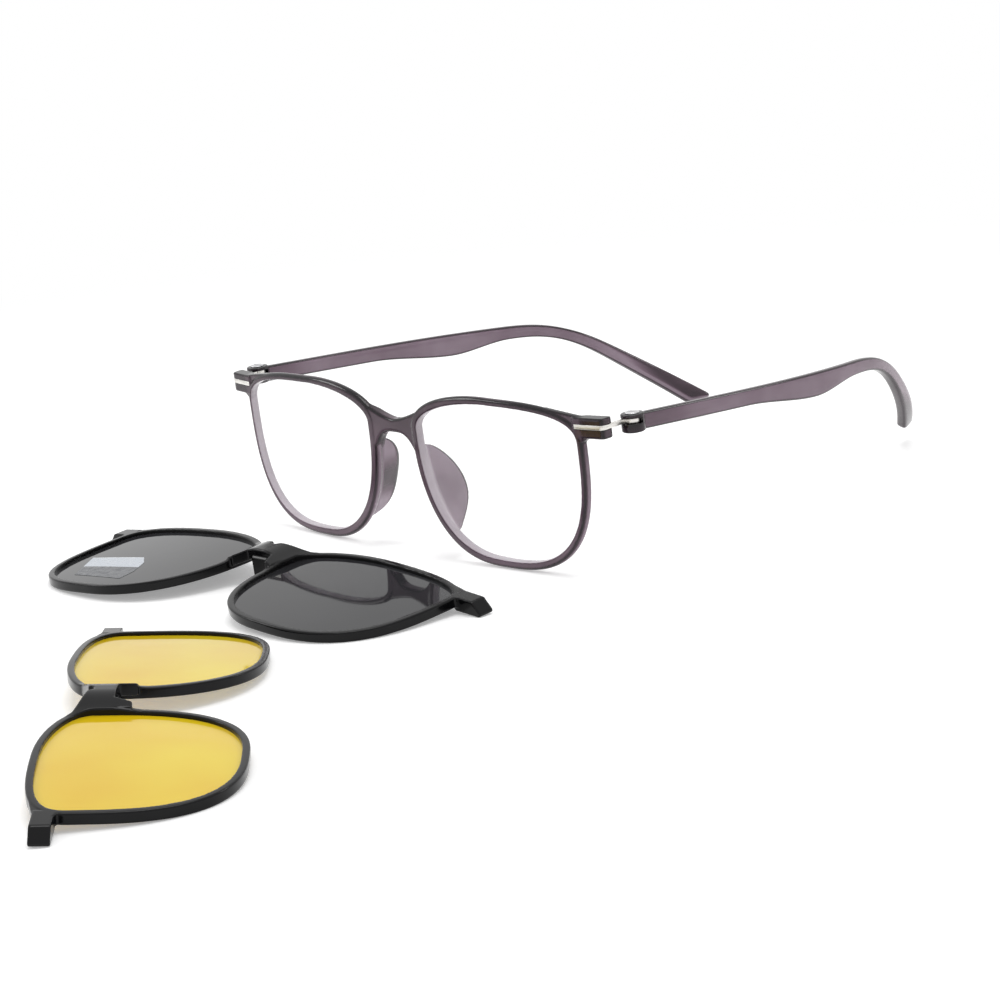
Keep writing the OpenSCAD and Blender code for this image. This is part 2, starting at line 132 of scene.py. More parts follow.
def grid_faces(rows: int, columns: int, closed_rows: bool, closed_columns: bool) -> Array:
    """Quads of a grid of points.

    Args:
        rows: rings in the grid.
        columns: points in a ring.
        closed_rows: whether the last ring joins the first.
        closed_columns: whether a ring's last point joins its first.

    Returns:
        One row of four point numbers for each quad.
    """
    i = np.arange(rows if closed_rows else rows - 1)[:, None]
    j = np.arange(columns if closed_columns else columns - 1)[None, :]
    k, l = (i + 1) % rows, (j + 1) % columns
    quads = [i * columns + j, k * columns + j, k * columns + l, i * columns + l]
    return np.stack([np.broadcast_to(q, (i.size, j.size)).ravel() for q in quads], axis=1)


def linked(name: str, data: bpy.types.ID) -> Piece:
    """A new object that shows a mesh, lamp or camera, linked to the scene."""
    piece = bpy.data.objects.new(name, data)
    bpy.context.scene.collection.objects.link(piece)
    return piece


def shape(name: str, points: Array, faces: list[Array]) -> Piece:
    """A mesh object in millimetres, its faces turned outwards.

    The volume is a sixth of the sum, over each face's fan of triangles, of the triple product of the corners;
    where it is below nothing every face is reversed.

    Args:
        name: the object's name.
        points: one row per point.
        faces: arrays of point numbers, one row per face.

    Returns:
        The object, linked to the scene.
    """
    volume = 0.0
    for block in faces:
        for step in range(1, block.shape[1] - 1):
            a, b, c = points[block[:, 0]], points[block[:, step]], points[block[:, step + 1]]
            volume += float(np.einsum("ij,ij->", a, np.cross(b, c)))
    rows = [block[:, ::-1] if volume < 0 else block for block in faces]
    mesh = bpy.data.meshes.new(name)
    mesh.from_pydata(points.tolist(), [], [row for block in rows for row in block.tolist()])
    mesh.update()
    return linked(name, mesh)


def ring_tube(name: str, rings: Array) -> Piece:
    """Closed tube through a closed loop of rings, shape (rings, points, 3)."""
    n, m = rings.shape[:2]
    return shape(name, rings.reshape(-1, 3), [grid_faces(n, m, True, True)])


def capped(name: str, rings: Array) -> Piece:
    """Solid through an open row of rings, each end closed by a fan to the middle of its ring.

    Args:
        name: the object's name.
        rings: shape (rings, points, 3).

    Returns:
        The closed object.
    """
    n, m = rings.shape[:2]
    ends = np.stack([rings[0].mean(0), rings[-1].mean(0)])
    j = np.arange(m)
    first = np.stack([np.full(m, n * m), j, (j + 1) % m], axis=1)
    last = np.stack([np.full(m, n * m + 1), (n - 1) * m + (j + 1) % m, (n - 1) * m + j], axis=1)
    points = np.concatenate([rings.reshape(-1, 3), ends])
    return shape(name, points, [grid_faces(n, m, False, True), first, last])


def corner_arc(x: Array, y: Array, radius: tuple, start: float, end: float, steps: int) -> Array:
    """An arc of an ellipse about each point: its centre plus radius times cosine and sine.

    Args:
        x: centres, one for each section.
        y: centres, one for each section.
        radius: the two radii, each a number or one for each section.
        start: first angle in degrees.
        end: last angle in degrees.
        steps: points in the arc.

    Returns:
        Points of shape (sections, steps, 2).
    """
    t = np.radians(np.linspace(start, end, steps))[None, :]
    wide, high = (np.broadcast_to(r, x.shape)[:, None] for r in radius)
    return np.stack([x[:, None] + wide * np.cos(t), y[:, None] + high * np.sin(t)], axis=-1)


def rounded_section(width: Array, depth: Array, radii: tuple, steps: int = 6) -> Array:
    """Rectangles with four round corners, one for each width.

    Args:
        width: width of each rectangle.
        depth: depth of each rectangle.
        radii: corner radii: inner front, outer front, outer back, inner back.
        steps: points in a corner.

    Returns:
        Points of shape (rectangles, 4 * steps, 2).
    """
    w, d = np.broadcast_arrays(np.atleast_1d(width).astype(float), np.atleast_1d(depth).astype(float))
    a, b, c, e = radii
    zero = 0 * w
    return np.concatenate([corner_arc(zero + a, zero + a, (a, a), 180, 270, steps),
                           corner_arc(w - b, zero + b, (b, b), 270, 360, steps),
                           corner_arc(w - c, d - c, (c, c), 0, 90, steps),
                           corner_arc(zero + e, d - e, (e, e), 90, 180, steps)], axis=1)


def settle(piece: Piece) -> Piece:
    """Makes a piece's modifiers part of its mesh."""
    bpy.context.view_layer.update()
    mesh = bpy.data.meshes.new_from_object(piece.evaluated_get(bpy.context.evaluated_depsgraph_get()))
    old, piece.data = piece.data, mesh
    piece.modifiers.clear()
    bpy.data.meshes.remove(old)
    return piece


def prism(name: str, outline: Array, low: float, high: float, round_edge: float = 0.0) -> Piece:
    """Upright prism on a plan outline, its edges rounded.

    Args:
        name: the object's name.
        outline: plan points (x, y) in order.
        low: height of its foot.
        high: height of its top.
        round_edge: radius of its edges.

    Returns:
        The closed object.
    """
    n = len(outline)
    heights = np.repeat(np.array([low, high]), n).reshape(2, n, 1)
    rings = np.concatenate([np.repeat(outline[None], 2, 0), heights], axis=2)
    foot, top = np.arange(n)[None, ::-1], np.arange(n, 2 * n)[None, :]
    piece = shape(name, rings.reshape(-1, 3), [grid_faces(2, n, False, True)[:, ::-1], foot, top])
    if round_edge > 0:
        bevel = piece.modifiers.new("edges", "BEVEL")
        bevel.width, bevel.segments, bevel.limit_method = round_edge, 4, "ANGLE"
        bevel.angle_limit = np.radians(25)
        settle(piece)
    return piece


def bar(name: str, x: Array, front: Array, back: Array, low: Array, high: Array, radius: float) -> Piece:
    """A bar that runs sideways: a rounded rectangle carried along x.

    Args:
        name: the object's name.
        x: stations along the bar.
        front: y of its front at each station.
        back: y of its back.
        low: z of its underside.
        high: z of its top.
        radius: radius of its long edges.

    Returns:
        The closed bar.
    """
    flat = rounded_section(back - front, high - low, (radius,) * 4, 5)
    rings = np.stack([np.broadcast_to(x[:, None], flat.shape[:2]), np.reshape(front, (-1, 1)) + flat[..., 0],
                      np.reshape(low, (-1, 1)) + flat[..., 1]], axis=-1)
    return capped(name, rings)


def join(piece: Piece, how: Join, *others: Piece) -> Piece:
    """Joins closed pieces to the first one and removes them."""
    for other in others:
        step = piece.modifiers.new(how.name, "BOOLEAN")
        step.operation, step.solver, step.object = how.value, "MANIFOLD", other
        settle(piece)
        bpy.data.objects.remove(other)
    return piece


def read_points(piece: Piece, what: str = "co") -> Array:
    """The places of a mesh's points, or with "normal" their normals."""
    values = np.zeros(len(piece.data.vertices) * 3)
    piece.data.vertices.foreach_get(what, values)
    return values.reshape(-1, 3)


def put_points(piece: Piece, points: Array) -> Piece:
    """Moves a mesh's points to new places."""
    piece.data.vertices.foreach_set("co", points.ravel())
    piece.data.update()
    return piece


def fuse(piece: Piece, voxel: float, rounds: int) -> Piece:
    """Melts the seams of a joined moulding into one skin.

    The mesh is redrawn on a grid of cells, then each round moves every point halfway to the mean of its
    neighbours and back by slightly more, which irons the skin without shrinking it.

    Args:
        piece: the closed piece.
        voxel: size of a cell.
        rounds: rounds of ironing.

    Returns:
        The same piece.
    """
    cells = piece.modifiers.new("cells", "REMESH")
    cells.mode, cells.voxel_size, cells.adaptivity = "VOXEL", voxel, 0.0
    settle(piece)
    points, pairs = read_points(piece), np.zeros(len(piece.data.edges) * 2, np.int64)
    piece.data.edges.foreach_get("vertices", pairs)
    pairs = pairs.reshape(-1, 2)
    count = len(points)
    a, b = np.concatenate([pairs[:, 0], pairs[:, 1]]), np.concatenate([pairs[:, 1], pairs[:, 0]])
    near = np.bincount(a, minlength=count)[:, None]
    for weight in (0.5, -0.53) * rounds:
        mean = np.stack([np.bincount(a, weights=points[b, k], minlength=count) for k in range(3)], axis=1) / near
        points = points + weight * (mean - points)
    return put_points(piece, points)


def mirrored(piece: Piece) -> Piece:
    """A copy on the other side of the middle plane, its faces turned back outwards."""
    mesh = piece.data.copy()
    mesh.transform(Matrix.Scale(-1, 4, (1, 0, 0)))
    mesh.flip_normals()
    return linked(piece.name + " twin", mesh)


def sided(piece: Piece, side: Side) -> Piece:
    """The piece itself for the right side, its mirror image alone for the left."""
    if side is Side.RIGHT:
        return piece
    twin, name = mirrored(piece), piece.name
    bpy.data.objects.remove(piece)
    twin.name = name
    return twin


def moulding(ends: list[Piece], middle: list[Piece], hole: Piece, rims: list[Piece],
             voxel: float, rounds: int) -> Piece:
    """One skin out of a moulding's parts: joined on both sides, opened for the lenses, rimmed and fused.

    Args:
        ends: the parts of the right end-piece or arm.
        middle: what joins the two sides.
        hole: the plug of the right opening.
        rims: what stands round that opening.
        voxel: size of the fused skin's cells.
        rounds: rounds of ironing.

    Returns:
        The fused moulding.
    """
    first, *rest = ends
    end = join(first, Join.ADD, *rest)
    outside = join(end, Join.ADD, mirrored(end), *middle)
    join(outside, Join.CUT, mirrored(hole), hole)
    both = [piece for rim in rims for piece in (mirrored(rim), rim)]
    return fuse(join(outside, Join.ADD, *both), voxel, rounds)


def keep_painted_shade(piece: Piece, depth: Callable[[Array, Array], Array]) -> None:
    """Stores on each point a value of painted light and shade, worked out from places and normals: 0 a wall painted
    light, 1 painted dark.
    """
    layer = piece.data.attributes.new("depth", "FLOAT", "POINT")
    layer.data.foreach_set("value", np.clip(depth(read_points(piece), read_points(piece, "normal")), 0, 1))


@dataclass(frozen=True)
class Placing:
    """Where a piece made in the front's own frame stands in the row."""

    x: float = 0.0
    y: float = 0.0
    z: float = 20.8077
    lean: float = 2.6
    turn: float = 0.0

    def put(self, points: Array) -> Array:
        """Points leaned about x, turned about z and moved."""
        shift = np.array([self.x - MIDDLE[0], self.y - MIDDLE[1], self.z])
        return turned(turned(points, self.lean, "X"), self.turn, "Z") + shift


STANDING = Placing()
GREY_LIES = Placing(-9.4, -44.0, 6.06, -90 + 4.56, 0.7)
YELLOW_LIES = Placing(57.0, -118.0, 6.06, -90 + 4.56, 138.0)


def hand_over(piece: Piece, place: Placing, finish: Material, body: str,
              node: str, crease: float = 40.0) -> None:
    """Puts a piece in its place in metres and gives it its finish, body, material slot and CAD node.

    Args:
        piece: the piece, in millimetres in the front's own frame.
        place: where it stands or lies.
        finish: its material.
        body: the body that it rides on.
        node: the CAD node that it stands for.
        crease: angle between faces, in degrees, from which an edge stays sharp.
    """
    put_points(piece, place.put(read_points(piece)) / 1000)
    mesh = piece.data
    mesh.polygons.foreach_set("use_smooth", np.ones(len(mesh.polygons), bool))
    mesh.set_sharp_from_angle(angle=np.radians(crease))
    mesh.materials.clear()
    mesh.materials.append(finish)
    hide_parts(node)
    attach(piece, body)
    log.info("%s rides on %s: %d faces", piece.name, body, len(mesh.polygons))


def linear(code: str) -> tuple[float, float, float, float]:
    """An sRGB hex colour as linear light with alpha 1."""
    s = np.array([int(code[i : i + 2], 16) for i in (1, 3, 5)]) / 255
    rgb = np.where(s <= 0.04045, s / 12.92, ((s + 0.055) / 1.055) ** 2.4)
    return (*rgb.tolist(), 1.0)


def cleared(owner: Material | bpy.types.World) -> Tree:
    """The node tree of a new material or world, emptied."""
    owner.use_nodes = True
    owner.node_tree.nodes.clear()
    return owner.node_tree


def add_node(tree: Tree, kind: str, settings: dict | None = None, **links: object) -> bpy.types.Node:
    """Adds one node to a material.

    Args:
        tree: the material's node tree.
        kind: the shader node's class name after ShaderNode.
        settings: properties of the node by name.
        links: inputs by name, underscores for spaces; an output socket is linked, any other value is set.

    Returns:
        The new node.
    """
    node = tree.nodes.new("ShaderNode" + kind)
    for key, value in (settings or {}).items():
        setattr(node, key, value)
    for key, value in links.items():
        name = key.replace("_", " ")
        socket = node.inputs[int(name[3:])] if name.startswith("at ") else node.inputs[name]
        if isinstance(value, Socket):
            tree.links.new(value, socket)
        else:
            socket.default_value = value
    return node


def maths(tree: Tree, what: str, a: Socket | float, b: Socket | float) -> Socket:
    """One sum of two values: ADD, MULTIPLY or MAXIMUM."""
    return add_node(tree, "Math", {"operation": what}, at_0=a, at_1=b).outputs[0]


def stops(tree: Tree, value: Socket, colours: dict[float, str],
          hard: bool = False) -> Socket:
    """A colour picked by a value from hex colours at their positions, blended or in hard bands."""
    node = add_node(tree, "ValToRGB", Fac=value)
    ramp = node.color_ramp
    ramp.interpolation = "CONSTANT" if hard else "LINEAR"
    places = sorted(colours)
    ramp.elements[0].position, ramp.elements[1].position = places[0], places[-1]
    ramp.elements[0].color, ramp.elements[1].color = linear(colours[places[0]]), linear(colours[places[-1]])
    for place in places[1:-1]:
        ramp.elements.new(place).color = linear(colours[place])
    return node.outputs["Color"]


def seen_white(tree: Tree) -> Socket:
    """1 for what the camera, gloss or a clear piece sees, 0 for what lights the object."""
    path = add_node(tree, "LightPath").outputs
    pair = maths(tree, "MAXIMUM", path["Is Camera Ray"], path["Is Glossy Ray"])
    return maths(tree, "MAXIMUM", pair, path["Is Transmission Ray"])


@dataclass(frozen=True)
class Finish:
    """A material: what all finishes have in common."""

    name: str
    roughness: float
    grain_mm: float
    grain_depth: float

    def start(self) -> tuple[Material, Tree, Socket]:
        """A new material, its tree and the object coordinates in millimetres."""
        material = bpy.data.materials.new(self.name)
        tree = cleared(material)
        place = add_node(tree, "TexCoord").outputs["Object"]
        scaled = add_node(tree, "Mapping", Vector=place, Scale=(1000.0, 1000.0, 1000.0))
        return material, tree, scaled.outputs["Vector"]

    def noise(self, tree: Tree, place: Socket, size: float,
              detail: float = 2.0) -> Socket:
        """Soft noise whose patches are size millimetres wide."""
        return add_node(tree, "TexNoise", Vector=place, Scale=1.0 / size, Detail=detail).outputs["Fac"]

    def spread(self, tree: Tree, value: Socket, low: float,
               high: float) -> Socket:
        """A noise spread to run from low to high."""
        return add_node(tree, "MapRange", Value=value, From_Min=0.3, From_Max=0.7, To_Min=low,
                        To_Max=high).outputs["Result"]

    def grain(self, tree: Tree, place: Socket) -> Socket:
        """Bump of the surface's own grain."""
        height = self.noise(tree, place, self.grain_mm, 3.0)
        bump = add_node(tree, "Bump", Height=height, Strength=1.0, Distance=self.grain_depth * 0.001)
        return bump.outputs["Normal"]

    def close(self, tree: Tree, place: Socket, colour: Socket,
              wear: Socket, span: tuple[float, float], **numbers: float) -> None:
        """Ends the tree in one principled shader.

        Args:
            tree: the material's node tree.
            place: the coordinates that the grain follows.
            colour: the base colour.
            wear: a noise that the roughness follows.
            span: the least and the most of it, as shares of the finish's roughness.
            numbers: the shader's other inputs, even all over the surface.
        """
        skin = self.spread(tree, wear, self.roughness * span[0], self.roughness * span[1])
        shader = add_node(tree, "BsdfPrincipled", Base_Color=colour, Roughness=skin,
                          Normal=self.grain(tree, place), **numbers)
        add_node(tree, "OutputMaterial", Surface=shader.outputs[0])


@dataclass(frozen=True)
class TintedNylon(Finish):
    """Injection-moulded transparent nylon, tumbled to a gloss: walls where light comes through are painted light,
    and edges and corners carry painted dark shade lines.
    """

    clear: float = 0.3
    sheen_level: float = 0.25
    flow_mm: float = 14.0
    wear_mm: float = 6.0

    def make(self) -> Material:
        """The material: a stored value of painted light and shade picks the colour, broken up by slow flow marks of
        the moulding.
        """
        material, tree, place = self.start()
        # The depth attribute holds painted light and shade: light walls, dark lines along edges and corners.
        depth = add_node(tree, "Attribute", {"attribute_name": "depth"}).outputs["Fac"]
        flow = self.spread(tree, self.noise(tree, place, self.flow_mm), -0.05, 0.05)
        value = maths(tree, "ADD", depth, flow)
        # From painted light on walls, through the nylon's own face colour, to painted dark shade lines.
        colour = stops(tree, value, {0.0: "#e6dde5", 0.25: "#b5a4b1", 0.5: "#7f6a78", 0.75: "#42343d",
                                     1.0: "#120e13"})
        self.close(tree, place, colour, self.noise(tree, place, self.wear_mm), (0.7, 1.5), IOR=PLASTIC_IOR,
                   Transmission_Weight=self.clear, Specular_IOR_Level=self.sheen_level)
        return material


@dataclass(frozen=True)
class SmoothPlastic(Finish):
    """A polished plastic: a slow drift between two close shades under a smooth skin."""

    dark: str
    light: str
    alpha: float = 1.0
    sheen_level: float = 0.5
    shade_mm: float = 30.0
    wear_mm: float = 12.0

    def make(self) -> Material:
        """The material: one noise picks the shade, another the gloss, and alpha is even."""
        material, tree, place = self.start()
        colour = stops(tree, self.noise(tree, place, self.shade_mm), {0.3: self.dark, 0.7: self.light})
        self.close(tree, place, colour, self.noise(tree, place, self.wear_mm), (0.8, 1.3), IOR=PLASTIC_IOR,
                   Alpha=self.alpha, Specular_IOR_Level=self.sheen_level)
        return material


@dataclass(frozen=True)
class GlossNylon(SmoothPlastic):
    """Injection-moulded black nylon, polished: a near-black skin that shines where it turns to a lamp."""

    dark: str = "#040405"
    light: str = "#0b0b0d"
    sheen_level: float = 0.2
    shade_mm: float = 9.0
    wear_mm: float = 4.0


@dataclass(frozen=True)
class SheetLens(SmoothPlastic):
    """A cast sheet lens, tinted through: deep grey unless another or a see-through colour is named."""

    dark: str = "#222224"
    light: str = "#2c2c2f"


@dataclass(frozen=True)
class PlatedMetal(Finish):
    """Rolled or plated metal: fine lines along its length widen the highlight."""

    dark: str = "#c6c3be"
    light: str = "#f0eeea"
    line_mm: float = 0.25

    def make(self) -> Material:
        """The material: a metal with rolling lines stretched along the front."""
        material, tree, place = self.start()
        lines = add_node(tree, "Mapping", Vector=place, Scale=(0.08, 0.08, 1.0)).outputs["Vector"]
        streak = self.noise(tree, lines, self.line_mm)
        colour = stops(tree, streak, {0.3: self.dark, 0.7: self.light})
        self.close(tree, place, colour, streak, (0.75, 1.3), Metallic=1.0)
        return material


@dataclass(frozen=True)
class LabelFoil(Finish):
    """Bare polyester foil in two bands: a bright one above a dark one, with a thin light edge at the top."""

    wear_mm: float = 1.5

    def make(self) -> Material:
        """The material: the colour follows the label's own map from its upper edge to its lower one."""
        material, tree, place = self.start()
        across = add_node(tree, "UVMap", {"uv_map": "sheet"}).outputs["UV"]
        parts = add_node(tree, "SeparateXYZ", Vector=across)
        colour = stops(tree, parts.outputs["Y"], {0.0: "#55575c", 0.48: "#c2c8d0", 0.97: "#dfe3e8"}, True)
        self.close(tree, place, colour, self.noise(tree, place, self.wear_mm), (0.7, 1.4), Metallic=0.3)
        return material


@dataclass(frozen=True)
class TableTop:
    """White seamless paper: soft shadows by the glasses, plain white further off."""

    paper: str = "#f4f4f4"
    glow: float = 0.3
    near: float = 0.16
    far: float = 0.5

    def make(self) -> Material:
        """The material: matt paper with some white of its own, which takes over with the distance."""
        material = bpy.data.materials.new("seamless paper")
        tree = cleared(material)
        seen = seen_white(tree)
        place = add_node(tree, "TexCoord").outputs["Object"]
        reach = add_node(tree, "VectorMath", {"operation": "LENGTH"}, at_0=place).outputs["Value"]
        away = add_node(tree, "MapRange", {"interpolation_type": "SMOOTHSTEP"}, Value=reach,
                        From_Min=self.near, From_Max=self.far).outputs["Result"]
        power = maths(tree, "MULTIPLY", seen, self.glow)
        paper = add_node(tree, "BsdfDiffuse", Color=linear(self.paper))
        glow = add_node(tree, "Emission", Color=WHITE, Strength=power)
        both = add_node(tree, "AddShader", at_0=paper.outputs[0], at_1=glow.outputs[0])
        plain = add_node(tree, "Emission", Color=WHITE, Strength=seen)
        share = maths(tree, "MULTIPLY", seen, away)
        mixed = add_node(tree, "MixShader", at_0=share, at_1=both.outputs[0], at_2=plain.outputs[0])
        add_node(tree, "OutputMaterial", Surface=mixed.outputs[0])
        return material


class Finishes:
    """Every finish on the object, made once."""

    def __init__(self) -> None:
        """Makes the materials."""
        self.nylon = TintedNylon("smoke-purple nylon", 0.06, 1.2, 0.002).make()
        self.black = GlossNylon("black nylon", 0.14, 0.6, 0.002).make()
        self.clear = SheetLens("clear demo sheet", 0.03, 8.0, 0.002, "#eef1f4", "#ffffff", 0.06, 0.2).make()
        self.grey = SheetLens("grey polarised sheet", 0.03, 6.0, 0.001, sheen_level=0.3).make()
        self.yellow = SheetLens("yellow polarised sheet", 0.05, 6.0, 0.002, "#f0c608", "#f7dc2a", 0.85).make()
        self.strip = PlatedMetal("nickel silver strip", 0.3, 0.4, 0.002).make()
        self.pin = PlatedMetal("steel pin", 0.22, 0.3, 0.001, "#b9b9bd", "#dededf").make()
        self.magnet = PlatedMetal("nickel-plated magnet", 0.35, 0.5, 0.003, "#3c3a40", "#58555c").make()
        self.foil = LabelFoil("label foil", 0.3, 0.8, 0.003).make()


@dataclass(frozen=True)
class LensOutline:
    """Outline of a lens opening: four quarter curves, each |x|^n + |z|^n = 1 with its own reach and power."""

    width: float = 50.2
    height: float = 37.4
    middle_x: float = 32.5593
    middle_z: float = 10.6777
    groove: float = 0.4
    outer_share: float = 0.5287
    upper_share: float = 0.2145
    fall: float = 0.024
    upper_outer: float = 3.04
    upper_inner: float = 1.9
    lower_inner: float = 2.44
    lower_outer: float = 2.89
    hole_room: float = 0.6

    def opening(self, angle: Array) -> Array:
        """Points (x, z) of the opening at angles in radians from the outer side, upwards."""
        c, s = np.cos(angle), np.sin(angle)
        power = np.where(s >= 0, np.where(c >= 0, self.upper_outer, self.upper_inner),
                         np.where(c < 0, self.lower_inner, self.lower_outer))
        side = self.width * np.where(c >= 0, self.outer_share, 1 - self.outer_share) * signed(c, 2 / power)
        rise = self.height * np.where(s >= 0, self.upper_share, 1 - self.upper_share) * signed(s, 2 / power)
        return np.stack([self.middle_x + side, self.middle_z + rise - self.fall * side], axis=-1)

    def edge(self, angle: Array, offset: Array) -> Array:
        """Points a distance outside the opening, along its outward normal."""
        run = self.opening(angle + np.radians(1.5)) - self.opening(angle - np.radians(1.5))
        normal = np.stack([run[..., 1], -run[..., 0]], axis=-1) / np.linalg.norm(run, axis=-1, keepdims=True)
        return self.opening(angle) + np.asarray(offset)[..., None] * normal

    def stations(self, count: int) -> Array:
        """Angles round the opening, closer together at its corners."""
        angle = 2 * np.pi * np.arange(count) / count
        return angle - np.radians(5) * np.sin(4 * angle)

    def plate(self, name: str, margin: Array, front: float, thickness: float, curve: float) -> Piece:
        """A lens: rings of the outline shrunk to its middle, a front and a back skin on the same curve.

        Args:
            name: the object's name.
            margin: how far the lens's edge lies outside the opening, for each station.
            front: how far the front skin sits behind the rim's face.
            thickness: distance between the skins.
            curve: radius of the curve.

        Returns:
            The closed lens.
        """
        rim = self.edge(self.stations(PLATE_STATIONS), margin)
        middle = rim.mean(0)
        share = np.array([0.02, 0.15, 0.3, 0.45, 0.6, 0.74, 0.86, 0.94, 0.985, 1.0])[:, None, None]
        flat = middle + share * (rim - middle)
        skins = [bent(flat, curve, deep) for deep in (front, front + thickness)]
        return capped(name, np.concatenate([skins[0], skins[1][::-1]]))

    def hole(self, margin: Array) -> Piece:
        """A long plug that is larger than the opening by a margin and some room: it clears what joins the rim."""
        rim = self.edge(self.stations(PLATE_STATIONS), margin + self.hole_room)
        rings = np.stack([np.stack([rim[:, 0], np.full(len(rim), y), rim[:, 1]], axis=1) for y in (-20.0, 20.0)])
        return capped("hole", rings)


OUTLINE = LensOutline()


@dataclass(frozen=True)
class Magnet:
    """A block magnet in an end-piece or a clip's arm, and the pocket that holds it."""

    x: float = 62.9
    z: float = 15.05
    half_width: float = 2.6
    half_height: float = 1.4
    thickness: float = 1.2
    edge: float = 0.15
    room: float = 0.03
    shaft: float = 3.0

    def block(self, name: str, front: float, curve: float, grow: float = 0.0, deep: float = 0.0) -> Piece:
        """The magnet, or with room round it the tool that cuts its pocket.

        Args:
            name: the object's name.
            front: how far its front face lies behind the moulding's face.
            curve: radius of the moulding's curve.
            grow: how much larger than the magnet the block is on each side.
            deep: how much deeper.

        Returns:
            A block turned to the curve.
        """
        half, tall, back = self.half_width + grow, self.half_height + grow, self.thickness + deep
        corners = np.array([[-half, -grow], [half, -grow], [half, back], [-half, back]])
        a = np.arcsin(self.x / curve)
        spin = np.array([[np.cos(a), np.sin(a)], [-np.sin(a), np.cos(a)]])
        plan = corners @ spin + np.array([self.x, bow(self.x, curve) + front])
        return prism(name, plan, self.z - tall, self.z + tall, self.edge if grow == 0 else 0.0)

    def dig(self, skin: Piece, front: float, curve: float) -> None:
        """Cuts a pocket for a magnet into both sides of a moulding."""
        pocket = self.block("pocket", front, curve, self.room, self.shaft)
        join(skin, Join.CUT, mirrored(pocket), pocket)


MAGNET = Magnet()


@dataclass(frozen=True)
class Shoulder:
    """What leads a rim into an end-piece or arm: a web along the brow and a gusset below."""

    curve: float
    web: tuple[float, float]
    web_end: float
    web_edge: float
    gusset: tuple[float, float]
    gusset_start: float
    gusset_steps: int
    gusset_drop: float
    gusset_rise: float
    gusset_power: float
    gusset_edge: float
    brow: float
    web_start: float = 49.7
    web_foot: float = 16.4
    gusset_end: float = 62.6
    brow_angle: float = 60.0

    def bars(self, low: float, middle: float, top: float) -> list[Piece]:
        """The two bars: the web's top runs straight from the brow, the gusset's foot rises by a power curve.

        Args:
            low: z of the end-piece's underside.
            middle: z of its middle, which is the gusset's top.
            top: z of its top.

        Returns:
            The web and the gusset.
        """
        x, ease = along(self.web_start, self.web_end, 21)
        brow = OUTLINE.edge(np.radians([self.brow_angle]), np.array([self.brow]))[0, 1]
        web = bar("web", x, bow(x, self.curve) + self.web[0], bow(x, self.curve) + self.web[1],
                  self.web_foot - ease, brow + (top - brow) * ease, self.web_edge)
        x, ease = along(self.gusset_start, self.gusset_end, self.gusset_steps)
        foot = low - self.gusset_drop + self.gusset_rise * ease**self.gusset_power
        gusset = bar("gusset", x, bow(x, self.curve) + self.gusset[0], bow(x, self.curve) + self.gusset[1],
                     foot, middle + 0 * x, self.gusset_edge)
        return [web, gusset]


